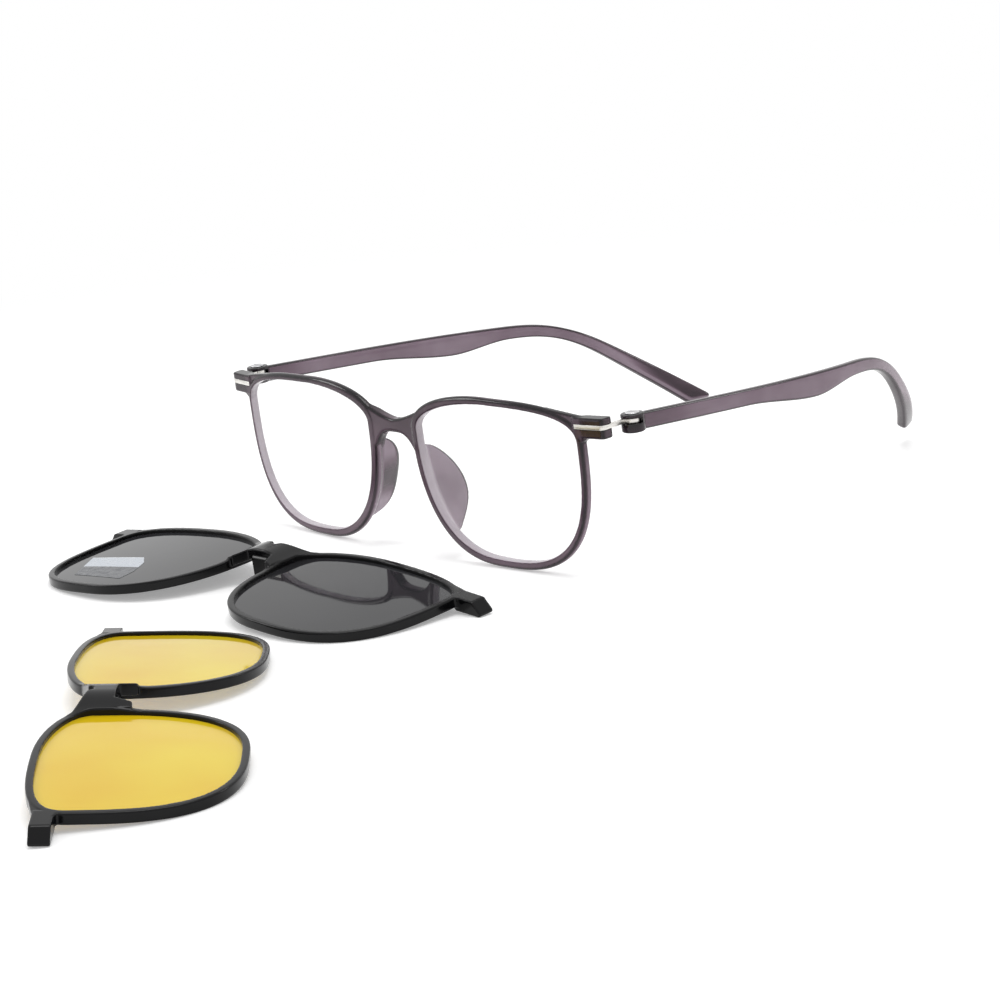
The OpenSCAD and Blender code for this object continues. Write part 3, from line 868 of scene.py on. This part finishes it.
@dataclass
class Front:
    """The moulded front: two rims, bridge, nose pads and end-pieces in one skin, with its lenses and magnets."""

    rim_width: float = 1.6
    nose_width: float = 2.3
    foot_width: float = 2.1
    rim_depth: float = 2.3
    bridge_height: float = 3.4
    bridge_depth: float = 3.2
    pad_reach: float = 9.0
    pad_flare: float = 17.0
    pad_thickness: float = 1.5
    end_in: float = 58.8
    end_x: float = 66.4
    end_z: float = 15.4
    end_low: float = 12.7
    end_top: float = 17.5
    end_depth: float = 3.4
    lens_set: float = 0.5
    lens_thickness: float = 1.2
    voxel: float = 0.22
    magnet_cover: float = 1.5
    bridge_half: float = 10.5
    bridge_drop: float = 1.35
    brow_rise: float = 4.2
    brow_reach: float = 12.2
    arch_drop: float = 5.3
    arch_reach: float = 7.5
    arch_floor: float = 8.0
    pad_from: float = 186.0
    pad_turn: float = 46.0

    def rim(self) -> Piece:
        """One rim: softened inner corners and an outer half-ellipse, carried round the opening.

        It is widest beside the nose and at its foot: the width grows with how far the station points there.
        """
        angle = OUTLINE.stations(RIM_STATIONS)
        wide = (self.rim_width + (self.nose_width - self.rim_width) * np.maximum(0, -np.cos(angle))
                + (self.foot_width - self.rim_width) * np.maximum(0, -np.sin(angle)) ** 3)
        zero, r = 0 * wide, np.minimum(1.1, wide - 0.45)
        flat = np.concatenate([
            corner_arc(zero + 0.3, zero + 0.3, (0.3, 0.3), 180, 270, 6),
            corner_arc(wide - r, zero + self.rim_depth / 2, (r, self.rim_depth / 2), -90, 90, 22),
            corner_arc(zero + 0.2, zero + self.rim_depth - 0.2, (0.2, 0.2), 90, 180, 5)], axis=1)
        place = OUTLINE.edge(angle[:, None] + 0 * flat[..., 0], flat[..., 0])
        return ring_tube("rim", bent(place, FRONT_CURVE, flat[..., 1]))

    def bridge(self) -> Piece:
        """The bridge: its top and underside are power curves of the distance from the middle."""
        x = np.linspace(-self.bridge_half, self.bridge_half, 85)
        base = OUTLINE.middle_z - self.bridge_drop
        high = base + self.bridge_height + self.brow_rise * (np.abs(x) / self.brow_reach) ** 1.5
        low = np.maximum(base - self.arch_drop * (np.abs(x) / self.arch_reach) ** 3.2, base - self.arch_floor)
        deep = self.bridge_depth + (self.rim_depth - self.bridge_depth) * smooth(np.abs(x), 6, 4)
        return bar("bridge", x, bow(x) + 0.25, bow(x) + deep, low, high, 0.85)

    def nose_pad(self) -> Piece:
        """A nose pad: a leaf that grows out of the rim's back along an arc and thins towards its edge."""
        t = np.linspace(0, 1, 61)
        flat = OUTLINE.edge(np.radians(self.pad_from + self.pad_turn * t), np.full(t.shape, 1.1))
        root = bent(flat, FRONT_CURVE, self.rim_depth - 0.5)
        bulge = np.sin(np.pi * (0.015 + 0.975 * t**0.82)) ** 0.62
        lean = np.radians(self.pad_flare * np.sin(np.pi * np.minimum(1, t * 1.1)))
        way = np.stack([np.sin(lean), np.cos(lean), 0 * t], axis=1)
        across = np.stack([np.cos(lean), -np.sin(lean), 0 * t], axis=1)
        s = np.linspace(0, 1, 15)
        half = self.pad_thickness / 2 * np.where(s > 0.75, np.sqrt(np.maximum(0, 1 - ((s - 0.75) / 0.25) ** 2)), 1.0)
        run = np.concatenate([s, s[-2::-1]])
        wide = np.concatenate([-half, half[-2::-1]])
        reach = (self.pad_reach * bulge)[:, None] * run
        rings = root[:, None] + reach[..., None] * way[:, None] + wide[None, :, None] * across[:, None]
        return capped("nose pad", rings)

    def end_piece(self) -> list[Piece]:
        """The end-piece's block, the straight web that leads the brow into it, and the gusset under it."""
        x = np.linspace(self.end_in - 0.4, self.end_x - 0.5, 9)
        back = self.end_x + 0.5
        y = bow(self.end_x)
        plan = np.concatenate([np.stack([x, bow(x) + 0.04], axis=1),
                               [[back - 0.1, y + 0.3], [back + 0.1, y + 1.1], [back + 0.2, y + 2.6],
                                [back - 0.1, y + self.end_depth - 0.2], [back - 0.6, y + self.end_depth],
                                [self.end_in + 1.6, bow(self.end_in) + self.end_depth],
                                [self.end_in - 0.4, bow(self.end_in) + self.rim_depth - 0.1]]])
        block = prism("end block", plan, self.end_low, self.end_top, 0.35)
        back = self.rim_depth - 0.1
        shoulder = Shoulder(FRONT_CURVE, web=(0.45, back), web_end=60.6, web_edge=0.4, gusset=(0.2, back),
                            gusset_start=59.9, gusset_steps=12, gusset_drop=2.0, gusset_rise=2.3,
                            gusset_power=0.7, gusset_edge=0.5, brow=self.rim_width - 0.1)
        return [block, *shoulder.bars(self.end_low, self.end_z, self.end_top)]

    def depth(self, p: Array, n: Array) -> Array:
        """A painted light and shade value at each point of the skin, 0 to 1.

        A face is mid, a wall that faces the nearer opening's middle is painted light, the outer walls a little
        lighter, and two bell curves of how squarely the normal faces away from it paint dark shade lines along the
        corners. The brow is painted darker towards its top and where it faces up, the pads are painted pale but for
        a painted dark line along their back edge, and the end-pieces are painted darker.

        Args:
            p: the points.
            n: their normals.

        Returns:
            One value for each point.
        """
        side = np.where(p[:, 0] < 0, -1.0, 1.0)
        ray = np.stack([p[:, 0] - side * OUTLINE.middle_x, p[:, 2] - OUTLINE.middle_z + 8], axis=1)
        ray /= np.linalg.norm(ray, axis=1, keepdims=True)
        away = n[:, 0] * ray[:, 0] + n[:, 2] * ray[:, 1]
        away = np.where(np.abs(p[:, 0]) < 8.5, np.maximum(away, np.abs(n[:, 2])), away)
        # Two bell curves paint dark shade lines along the rim's corners.
        line = 0.4 * bell(away, 0.62, 0.24) + 0.22 * bell(away, -0.35, 0.15)
        # Walls facing the opening's middle are painted light, outer walls a little lighter.
        value = 0.56 + line - 0.18 * smooth(away, 0.85, 0.12) - 0.52 * smooth(-away, 0.45, 0.35)
        # The brow is painted darker towards its top and where it faces up.
        value = value + (0.1 + 0.2 * smooth(n[:, 2])) * smooth(p[:, 2], 6, 9) * (away > -0.3)
        back = p[:, 1] - bow(np.clip(p[:, 0], -100, 100))
        # Nose pads are painted pale, with a painted dark shade line along their back edge.
        pad = smooth(back - self.rim_depth, 0.2, 0.9) * (np.abs(p[:, 0]) < 24)
        value = value * (1 - pad) + pad * (0.27 + 0.7 * smooth(n[:, 1], 0.12, 0.25))
        # The end-pieces are painted darker.
        return value + 0.12 * smooth(np.abs(p[:, 0]), 60.2, 0.8)

    def build(self, finishes: Finishes) -> None:
        """Makes the front and its lenses and magnets.

        Args:
            finishes: the materials.
        """
        skin = moulding(self.end_piece(), [self.bridge()], OUTLINE.hole(np.zeros(PLATE_STATIONS)),
                        [self.rim(), self.nose_pad()], self.voxel, 5)
        low, high = Strip().low - 0.04, Strip().high + 0.04
        groove = prism("groove", Strip().plan(-2.0, Strip().thickness + 0.03), low, high)
        join(skin, Join.CUT, mirrored(groove), groove)
        seat = self.end_depth - self.magnet_cover
        MAGNET.dig(skin, seat, FRONT_CURVE)
        skin.name = "moulded_front"
        # The skin's colour takes painted light and shade from its normals.
        keep_painted_shade(skin, self.depth)
        hand_over(skin, STANDING, finishes.nylon, "front", "front_frame")
        for side in Side:
            lens = OUTLINE.plate("lens_" + side.word, np.full(PLATE_STATIONS, OUTLINE.groove), self.lens_set,
                                 self.lens_thickness, FRONT_CURVE)
            hand_over(sided(lens, side), STANDING, finishes.clear, "front", "demo_lens_" + side.word)
            stone = MAGNET.block("magnet_" + side.word, seat, FRONT_CURVE)
            hand_over(sided(stone, side), STANDING, finishes.magnet, "front", "front_magnet_" + side.word)


@dataclass
class Strip:
    """The metal strip let into an end-piece, carried back to an eye on the hinge pin."""

    thickness: float = 0.8
    low: float = 14.85
    high: float = 15.95
    pin_x: float = 67.8
    pin_y: float = 14.4
    eye_radius: float = 1.9
    bore_radius: float = 0.8
    start_x: float = 58.9
    corner_x: float = 66.4
    proud: float = 0.03

    def path(self, inset: float) -> Array:
        """Plan of one face: along the front, a quadratic bend round the corner, back to the pin."""
        x = self.corner_x
        t = np.linspace(0, 1, 9)[:, None]
        a, b, c = (np.array(p) for p in ([x - 0.7, bow(x - 0.7) - self.proud + inset],
                                         [x + 0.66 - inset, bow(x) + inset], [x + 0.66 - inset, bow(x) + 1.4]))
        bend = (1 - t) ** 2 * a + 2 * t * (1 - t) * b + t**2 * c
        run = np.linspace(self.start_x, x - 1.2, 8)
        start = np.stack([run, bow(run) - self.proud + inset], axis=1)
        rest = np.array([[x + 0.7 - inset, bow(x) + 3.7], [self.pin_x - 0.5 - inset, self.pin_y]])
        return np.concatenate([start, bend, rest])

    def plan(self, outer: float, inner: float) -> Array:
        """Closed plan between two faces."""
        return np.concatenate([self.path(outer), self.path(inner)[::-1]])

    def build(self, side: Side, finishes: Finishes) -> None:
        """Makes one strip with its eye.

        Args:
            side: which side it is on.
            finishes: the materials.
        """
        piece = prism("strip_" + side.word, self.plan(0.0, self.thickness), self.low, self.high, 0.12)
        eye = prism("eye", circle(self.eye_radius, 64, self.pin_x, self.pin_y), self.low, self.high, 0.12)
        bore = prism("bore", circle(self.bore_radius, 64, self.pin_x, self.pin_y), self.low - 1, self.high + 1)
        join(join(piece, Join.ADD, eye), Join.CUT, bore)
        hand_over(sided(piece, side), STANDING, finishes.strip, "front", "hinge_strip_" + side.word)


@dataclass
class Temple:
    """A temple: a slotted barrel on the pin, an arm that droops, bends behind the ear and curls inwards."""

    length: float = 144.2
    start: float = 2.4
    height: float = 4.05
    belly: float = 1.9
    thickness: float = 2.3
    tip_thickness: float = 2.9
    tip_height: float = 5.5
    tip_twist: float = 36.0
    slope: float = 5.9
    ear_bend: float = 30.4
    tip_curl: float = 47.0
    barrel_radius: float = 2.75
    barrel_low: float = -2.7
    barrel_top: float = 1.45
    pin: tuple[float, float, float] = (67.8, 14.4, 15.4)
    pin_radius: float = 0.75
    slot: float = 0.65
    belly_from: float = 38.0
    belly_over: float = 27.0
    belly_end: float = 65.0
    neck_over: float = 18.0
    flare_from: float = 100.0
    bend_from: float = 80.7
    bend_over: float = 35.9
    curl_from: float = 18.5
    curl_power: float = 1.8
    twist_from: float = 92.0
    twist_over: float = 52.0
    slim: float = 0.85
    slim_from: float = 64.0
    slim_over: float = 36.0
    thicken_from: float = 60.0
    thicken_over: float = 70.0
    shear: float = 0.9
    shear_over: float = 14.0

    def droop(self, s: Array) -> Array:
        """Downward angle in radians at a distance along the arm: the slope, plus the bend behind the ear."""
        return np.radians(self.slope + self.ear_bend * smooth(s, self.bend_from, self.bend_over))

    def curl(self, s: Array) -> Array:
        """Inward angle in radians: grows as a power of how far the point is on its way to the tip."""
        share = np.maximum(0, (s - self.curl_from) / (self.length - self.curl_from))
        return np.radians(self.tip_curl * share**self.curl_power)

    def way(self, s: Array) -> Array:
        """Direction of the path: (-sin curl cos droop, cos curl cos droop, -sin droop)."""
        d, c = self.droop(s), self.curl(s)
        return np.stack([-np.sin(c) * np.cos(d), np.cos(c) * np.cos(d), -np.sin(d)], axis=1)

    def up(self, s: Array) -> Array:
        """Direction square to the path, upwards."""
        d, c = self.droop(s), self.curl(s)
        return np.stack([-np.sin(c) * np.sin(d), np.cos(c) * np.sin(d), np.cos(d)], axis=1)

    def path(self, s: Array) -> Array:
        """Points of the arm's middle line: the running sum of fine steps along its direction."""
        fine = np.linspace(self.start, self.length, 1200)
        step = np.diff(fine)[:, None] * self.way((fine[1:] + fine[:-1]) / 2)
        line = np.concatenate([np.zeros((1, 3)), np.cumsum(step, axis=0)]) + [-0.35, self.start, -0.85]
        points = np.stack([np.interp(s, fine, line[:, k]) for k in range(3)], axis=1)
        return points + np.minimum(0, s - self.start)[:, None] * self.way(np.zeros(1) + self.start)

    def arm(self) -> Piece:
        """The arm: a rounded section carried along the path.

        The section is a superellipse, deepest in front of the ear and slim over it, and grows to a wide tip. It
        twists about the path towards the tip, whose lower edge leans in to the head. The last stretch is sheared
        along the path by its own height, which slants the tip's end face.
        """
        s = np.concatenate([np.linspace(self.start - 1.2, self.length - 2, 260),
                            self.length - 2 + 2 * np.sin(np.linspace(0, np.pi / 2, 12))[1:]])
        t = np.clip((s - self.length + 2) / 2, 0, 1)
        end = 0.45 + 0.55 * np.sqrt(1 - np.minimum(1, t * t))
        flare = np.maximum(0, s - self.flare_from) / (self.length - self.flare_from)
        grow = (self.tip_height - 3.2) * flare**1.25
        bump = self.belly * smooth(s, self.belly_from, self.belly_over)
        bump = bump * (1 - smooth(s, self.belly_end, self.neck_over))
        above = (0.45 * self.height + 0.68 * grow) * end
        slim = self.slim * smooth(s, self.slim_from, self.slim_over)
        below = (0.55 * self.height + bump - slim + 0.32 * grow) * end
        thicken = smooth(s, self.thicken_from, self.thicken_over)
        half = end / 2 * (self.thickness + (self.tip_thickness - self.thickness) * thicken)
        c = self.curl(s)
        flat_side, flat_up = np.stack([np.cos(c), np.sin(c), 0 * c], axis=1), self.up(s)
        twist = np.radians(self.tip_twist * smooth(s, self.twist_from, self.twist_over))[:, None]
        side_way = (np.cos(twist) * flat_side - np.sin(twist) * flat_up)[:, None]
        turn = np.linspace(0, 2 * np.pi, 49)[:-1]
        cos, sin = np.cos(turn)[None], np.sin(turn)[None]
        side = half[:, None] * signed(cos, 0.6)
        rise = np.where(sin > 0, above[:, None], below[:, None]) * signed(sin, 0.55)
        shear = self.shear * smooth(s - self.length, -self.shear_over, self.shear_over)
        up = np.cos(twist) * flat_up + np.sin(twist) * flat_side
        lift = (up + shear[:, None] * self.way(s))[:, None]
        return capped("arm", self.path(s)[:, None] + side[..., None] * side_way + rise[..., None] * lift)

    def depth(self, p: Array, n: Array) -> Array:
        """A painted light and shade value: the sides are mid, the top and bottom edges painted dark, the arm painted
        darker near the barrel and lighter towards the tip, the barrel painted darker still.

        Args:
            p: the points, from the pin.
            n: their normals.

        Returns:
            One value for each point.
        """
        s = np.linspace(self.start, self.length, 300)
        near = np.interp(p[:, 1], self.path(s)[:, 1], s)
        edge = np.einsum("ij,ij->i", n, self.up(near))
        # Top and bottom edges get painted dark shade lines; faces turned squarely up are painted a little lighter.
        value = 0.44 + 0.42 * smooth(np.abs(edge), 0.3, 0.25) - 0.16 * smooth(edge, 0.9, 0.08)
        # Painted darker near the barrel, painted lighter towards the tip.
        value = value + 0.12 * smooth(-near, -20, 14) - 0.1 * smooth(near, 96, 30)
        # The barrel is painted darker.
        barrel = 1 - smooth(np.hypot(p[:, 0], p[:, 1]), 2.6, 0.5)
        return value + 0.32 * barrel

    def build(self, side: Side, finishes: Finishes) -> None:
        """Makes one temple and its pin.

        Args:
            side: which side it is on.
            finishes: the materials.
        """
        body = "temple_" + side.word
        slot, low, top = self.slot, self.barrel_low, self.barrel_top
        barrel = prism("barrel", circle(self.barrel_radius, 96), low, top, 0.3)
        piece = join(barrel, Join.ADD, self.arm())
        box = np.array([[-4.0, -4.0], [4.0, -4.0], [4.0, 0.6], [0.0, 0.6], [0.0, 1.75], [-4.0, 1.75]])
        join(piece, Join.CUT, prism("eye room", circle(2.1), -slot, slot), prism("slot", box, -slot, slot),
             prism("bore", circle(self.pin_radius), low - 1, top + 1))
        pin = prism("pin", circle(self.pin_radius), low + 0.02, top + 0.02)
        head = prism("head", circle(self.pin_radius + 0.95), top + 0.001, top + 0.3, 0.12)
        groove = prism("groove", np.array([[-3, -0.17], [3, -0.17], [3, 0.17], [-3, 0.17]]), top + 0.14, top + 1)
        join(join(pin, Join.ADD, head), Join.CUT, groove)
        piece.name, pin.name = "arm_" + side.word, "pin_" + side.word
        # The arm's colour takes painted light and shade from its normals.
        keep_painted_shade(piece, self.depth)
        for part, finish, slot_name, node in ((piece, finishes.nylon, "purple_plastic", "temple_"),
                                              (pin, finishes.pin, "hinge_metal", "hinge_pin_")):
            part.data.transform(Matrix.Translation(self.pin))
            hand_over(sided(part, side), STANDING, finish, body, node + side.word)


@dataclass
class Clip:
    """A clip-on front: slim rims on an arched bar with a hook, and arms that end in slanted faces."""

    body: str
    place: Placing
    depth: float = 2.4
    rim_width: float = 1.6
    arch_rise: float = 2.4
    arch_flat: float = 1.0
    arch_over: float = 11.0
    arm_depth: float = 3.45
    arm_in: float = 59.4
    arm_slant: float = 1.9
    end_x: float = 66.4
    end_z: float = 15.4
    arm_low: float = 12.9
    arm_top: float = 17.1
    lens_set: float = 0.9
    hook_top: float = 8.5
    hook_half: float = 2.7
    hook_height: float = 1.7
    hook_reach: float = 2.9
    bar_half: float = 13.0
    extra_opening: float = 0.5
    extra_foot: float = 0.7
    voxel: float = 0.2
    magnet_cover: float = 1.4

    def curve(self, x: Array) -> Array:
        """How far the clip's face falls back at x."""
        return bow(x, CLIP_CURVE)

    def margin(self, angle: Array) -> Array:
        """How far the clip's opening reaches beyond the front's: half a millimetre, more towards the bottom."""
        return self.extra_opening + self.extra_foot * np.maximum(0, -np.sin(angle))

    def arch(self, x: Array) -> Array:
        """How far the bar rises: fully in the middle, falling to nothing on each side."""
        return self.arch_rise * (1 - smooth(np.abs(x), self.arch_flat, self.arch_over))

    def rim(self) -> Piece:
        """One rim: a square-faced section carried round the opening, its face raised near the bar."""
        angle = OUTLINE.stations(RIM_STATIONS)
        flat = rounded_section(np.full(RIM_STATIONS, self.rim_width), self.depth, (0.2, 0.35, 0.4, 0.1))
        place = OUTLINE.edge(angle[:, None] + 0 * flat[..., 0], self.margin(angle)[:, None] + flat[..., 0])
        lift = self.arch(place[..., 0]) * smooth(place[..., 1], 1, 7)
        lift = lift * np.clip(1 - flat[..., 1] / self.depth, 0, 1)
        return ring_tube("rim", bent(place, CLIP_CURVE, flat[..., 1] - lift))

    def bar_and_hook(self) -> list[Piece]:
        """The arched bar, notched at its middle, and the hook under it that reaches below the bridge."""
        x = np.linspace(-self.bar_half, self.bar_half, 121)
        u = np.abs(x)
        mid, rise = OUTLINE.middle_z, self.arch(x)
        high = mid + 1.5 + (1.0 + 3.7 * (np.maximum(0, u - 1) / 12) ** 1.15) * smooth(u, 0.7, 0.8)
        low = np.where(u > 8.2, high - 2.2, np.maximum(self.hook_top - 1.2 - 2.2 * np.maximum(0, u - 4.4), mid - 7))
        arched = bar("arched bar", x, self.curve(x) - rise, self.curve(x) + self.depth - 0.85 * rise, low, high, 0.4)
        x = np.linspace(-self.hook_half, self.hook_half, 9)
        one, foot = np.ones(9), self.hook_top - self.hook_height
        hook = bar("hook", x, -0.4 * one, (self.depth + self.hook_reach) * one, foot * one, self.hook_top * one, 0.4)
        return [arched, hook]

    def arm(self) -> list[Piece]:
        """An arm that runs out over the end-piece to a slanted end face, with its web and gusset."""
        x1, y1 = self.end_x - 0.6, self.curve(self.end_x)
        x2, back = x1 + self.arm_slant + 0.55, y1 + self.arm_depth
        x = np.linspace(self.arm_in, x1 - 0.1, 9)
        plan = np.concatenate([
            np.stack([x, self.curve(x)], axis=1),
            [[x1 + 0.4, y1 + 0.12], [x1 + 0.62, y1 + 0.45], [x2, back - 0.9], [x2 - 0.02, back - 0.35],
             [x2 - 0.5, back], [self.arm_in + 1, self.curve(self.arm_in + 1) + self.arm_depth],
             [self.arm_in, self.curve(self.arm_in) + self.depth]]])
        tip = prism("arm", plan, self.arm_low, self.arm_top, 0.3)
        shoulder = Shoulder(CLIP_CURVE, web=(0.1, self.depth - 0.1), web_end=60.8, web_edge=0.3,
                            gusset=(0.0, self.depth), gusset_start=59.2, gusset_steps=14, gusset_drop=1.7,
                            gusset_rise=1.8, gusset_power=0.6, gusset_edge=0.3, brow=self.rim_width + 0.4)
        return [tip, *shoulder.bars(self.arm_low, self.end_z, self.arm_top)]

    def build(self, lens: Material, slot: str, finishes: Finishes) -> None:
        """Makes one clip.

        Args:
            lens: the lens's material.
            slot: the lens's material slot in the record; not used.
            finishes: the materials.
        """
        margin = self.margin(OUTLINE.stations(PLATE_STATIONS))
        skin = moulding(self.arm(), self.bar_and_hook(), OUTLINE.hole(margin), [self.rim()], self.voxel, 3)
        seat = self.arm_depth - self.magnet_cover
        MAGNET.dig(skin, seat, CLIP_CURVE)
        skin.name = self.body + "_moulding"
        hand_over(skin, self.place, finishes.black, self.body, self.body + "_frame")
        for side in Side:
            pane = OUTLINE.plate(self.body + "_pane_" + side.word, margin + 0.4, self.lens_set, 1.0, CLIP_CURVE)
            hand_over(sided(pane, side), self.place, lens, self.body, self.body + "_lens_" + side.word)
            stone = MAGNET.block(self.body + "_stone_" + side.word, seat, CLIP_CURVE)
            hand_over(sided(stone, side), self.place, finishes.magnet, self.body,
                      self.body + "_magnet_" + side.word)


@dataclass
class Label:
    """The foil label on the grey clip's lens: a sheet on the lens's curve, left bare."""

    left: tuple[tuple[float, float], ...] = ((-54.0, -2.6), (-51.2, -6.5), (-48.4, -10.5), (-45.6, -14.4))
    right: tuple[tuple[float, float], ...] = ((-36.8, 0.4), (-32.9, -2.6), (-29.3, -8.4), (-28.4, -13.6))
    front: float = 0.9
    thickness: float = 0.06
    gap: float = 0.005

    def build(self, place: Placing, finishes: Finishes) -> None:
        """Makes the label: rows of points, each the blend of its left and right edges by its share.

        Args:
            place: where the clip lies.
            finishes: the materials.
        """
        rows, columns = 25, 33
        at = np.linspace(0, 3, rows)
        a, b = (np.stack([np.interp(at, range(4), np.array(edge)[:, k]) for k in range(2)], axis=1)
                for edge in (self.left, self.right))
        u, v = np.meshgrid(np.linspace(0, 1, columns), np.linspace(0, 1, rows))
        flat = (1 - u)[..., None] * a[:, None] + u[..., None] * b[:, None]
        skins = [bent(flat, CLIP_CURVE, deep).reshape(-1, 3)
                 for deep in (self.front - self.thickness, self.front - self.gap)]
        top, number = grid_faces(rows, columns, False, False), np.arange(u.size).reshape(rows, columns)
        loop = np.concatenate([number[0, :-1], number[:-1, -1], number[-1, :0:-1], number[:0:-1, 0]])
        side = np.stack([loop, np.roll(loop, -1), np.roll(loop, -1) + u.size, loop + u.size], axis=1)
        piece = shape("blank_label", np.concatenate(skins), [top, top[:, ::-1] + u.size, side[:, ::-1]])
        sheet = np.concatenate([np.stack([u, 1 - v], -1).reshape(-1, 2)] * 2)
        corner = np.zeros(len(piece.data.loops), np.int64)
        piece.data.loops.foreach_get("vertex_index", corner)
        piece.data.uv_layers.new(name="sheet").data.foreach_set("uv", sheet[corner].ravel())
        hand_over(piece, place, finishes.foil, "grey_clip", "grey_clip_label", 30)


def facing(place: Array, back: Array, roll: float = 0.0) -> Matrix:
    """A lamp's or camera's matrix: it stands at a place, its back points one way, and it rolls about that line."""
    right = np.cross([0.0, 0.0, 1.0], back)
    right /= np.linalg.norm(right)
    up = np.cross(back, right)
    right, up = right * np.cos(roll) + up * np.sin(roll), up * np.cos(roll) - right * np.sin(roll)
    matrix = np.eye(4)
    matrix[:3] = np.stack([right, up, back, place], axis=1)
    return Matrix(matrix.tolist())


@dataclass(frozen=True)
class Softbox:
    """A square area lamp that looks at the glasses."""

    name: str
    place: tuple[float, float, float]
    size: float
    watts: float

    def light(self) -> None:
        """Hangs the lamp."""
        lamp = bpy.data.lights.new(self.name, "AREA")
        lamp.size, lamp.energy = self.size, self.watts
        place = np.array(self.place)
        linked(self.name, lamp).matrix_world = facing(place, place / np.linalg.norm(place))


@dataclass(frozen=True)
class Studio:
    """White paper sweep, soft lamps, and the camera at the photograph's angle."""

    azimuth: float = 48.13
    elevation: float = 13.48
    roll: float = -5.46
    distance: float = 709.9
    target: tuple[float, float, float] = (35.787, 0.0, 17.542)
    focal_px: float = 3062.0
    room: float = 0.6
    lamps: tuple[Softbox, ...] = (Softbox("top light", (0.1, 0.1, 1.5), 0.8, 8.0),
                                  Softbox("side light", (-1.1, -0.6, 0.9), 0.5, 4.0),
                                  Softbox("back light", (0.5, 1.1, 0.8), 0.3, 1.6))

    def floor(self) -> None:
        """Lays the paper: a grid that stays flat under the glasses."""
        x, y = np.meshgrid(np.linspace(-4, 4, 9), np.linspace(-4, 4, 9))
        points = np.stack([x, y, 0 * x - 0.00002], -1).reshape(-1, 3)
        mesh = bpy.data.meshes.new("paper")
        mesh.from_pydata(points.tolist(), [], grid_faces(9, 9, False, False)[:, ::-1].tolist())
        paper = linked("paper", mesh)
        mesh.materials.append(TableTop().make())

    def world(self) -> None:
        """White surroundings: full white to the camera, to gloss and through lenses, softer as light."""
        world = bpy.data.worlds.new("white room")
        bpy.context.scene.world = world
        tree = cleared(world)
        power = add_node(tree, "MapRange", Value=seen_white(tree), To_Min=self.room, To_Max=1.0)
        sky = add_node(tree, "Background", Color=WHITE, Strength=power.outputs["Result"])
        add_node(tree, "OutputWorld", Surface=sky.outputs[0])

    def camera(self) -> None:
        """Sets the camera: orbit by azimuth and elevation about the target, then roll about the line of sight."""
        az, el, roll = np.radians([self.azimuth, self.elevation, self.roll])
        back = np.array([np.sin(az) * np.cos(el), -np.cos(az) * np.cos(el), np.sin(el)])
        place = (np.array(self.target) + back * self.distance - np.array([*MIDDLE, 0.0])) / 1000
        lens = bpy.data.cameras.new("camera")
        lens.sensor_width, lens.lens = 36.0, self.focal_px / 1000 * 36.0
        lens.clip_start, lens.clip_end = 0.01, 50.0
        camera = linked("camera", lens)
        camera.matrix_world = facing(place, back, roll)
        bpy.context.scene.camera = camera

    def build(self) -> None:
        """Sets the stage."""
        self.floor()
        self.world()
        for box in self.lamps:
            box.light()
        self.camera()
        bpy.context.scene.view_settings.view_transform = "Standard"


def main() -> None:
    """Builds everything in order."""
    logging.basicConfig(level=logging.INFO, format="%(name)s: %(message)s")
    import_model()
    Studio().build()
    finishes = Finishes()
    Front().build(finishes)
    for side in Side:
        Strip().build(side, finishes)
        Temple().build(side, finishes)
    Clip("grey_clip", GREY_LIES).build(finishes.grey, "grey_lens", finishes)
    Label().build(GREY_LIES, finishes)
    Clip("yellow_clip", YELLOW_LIES).build(finishes.yellow, "yellow_lens", finishes)


if __name__ == "__main__":
    main()
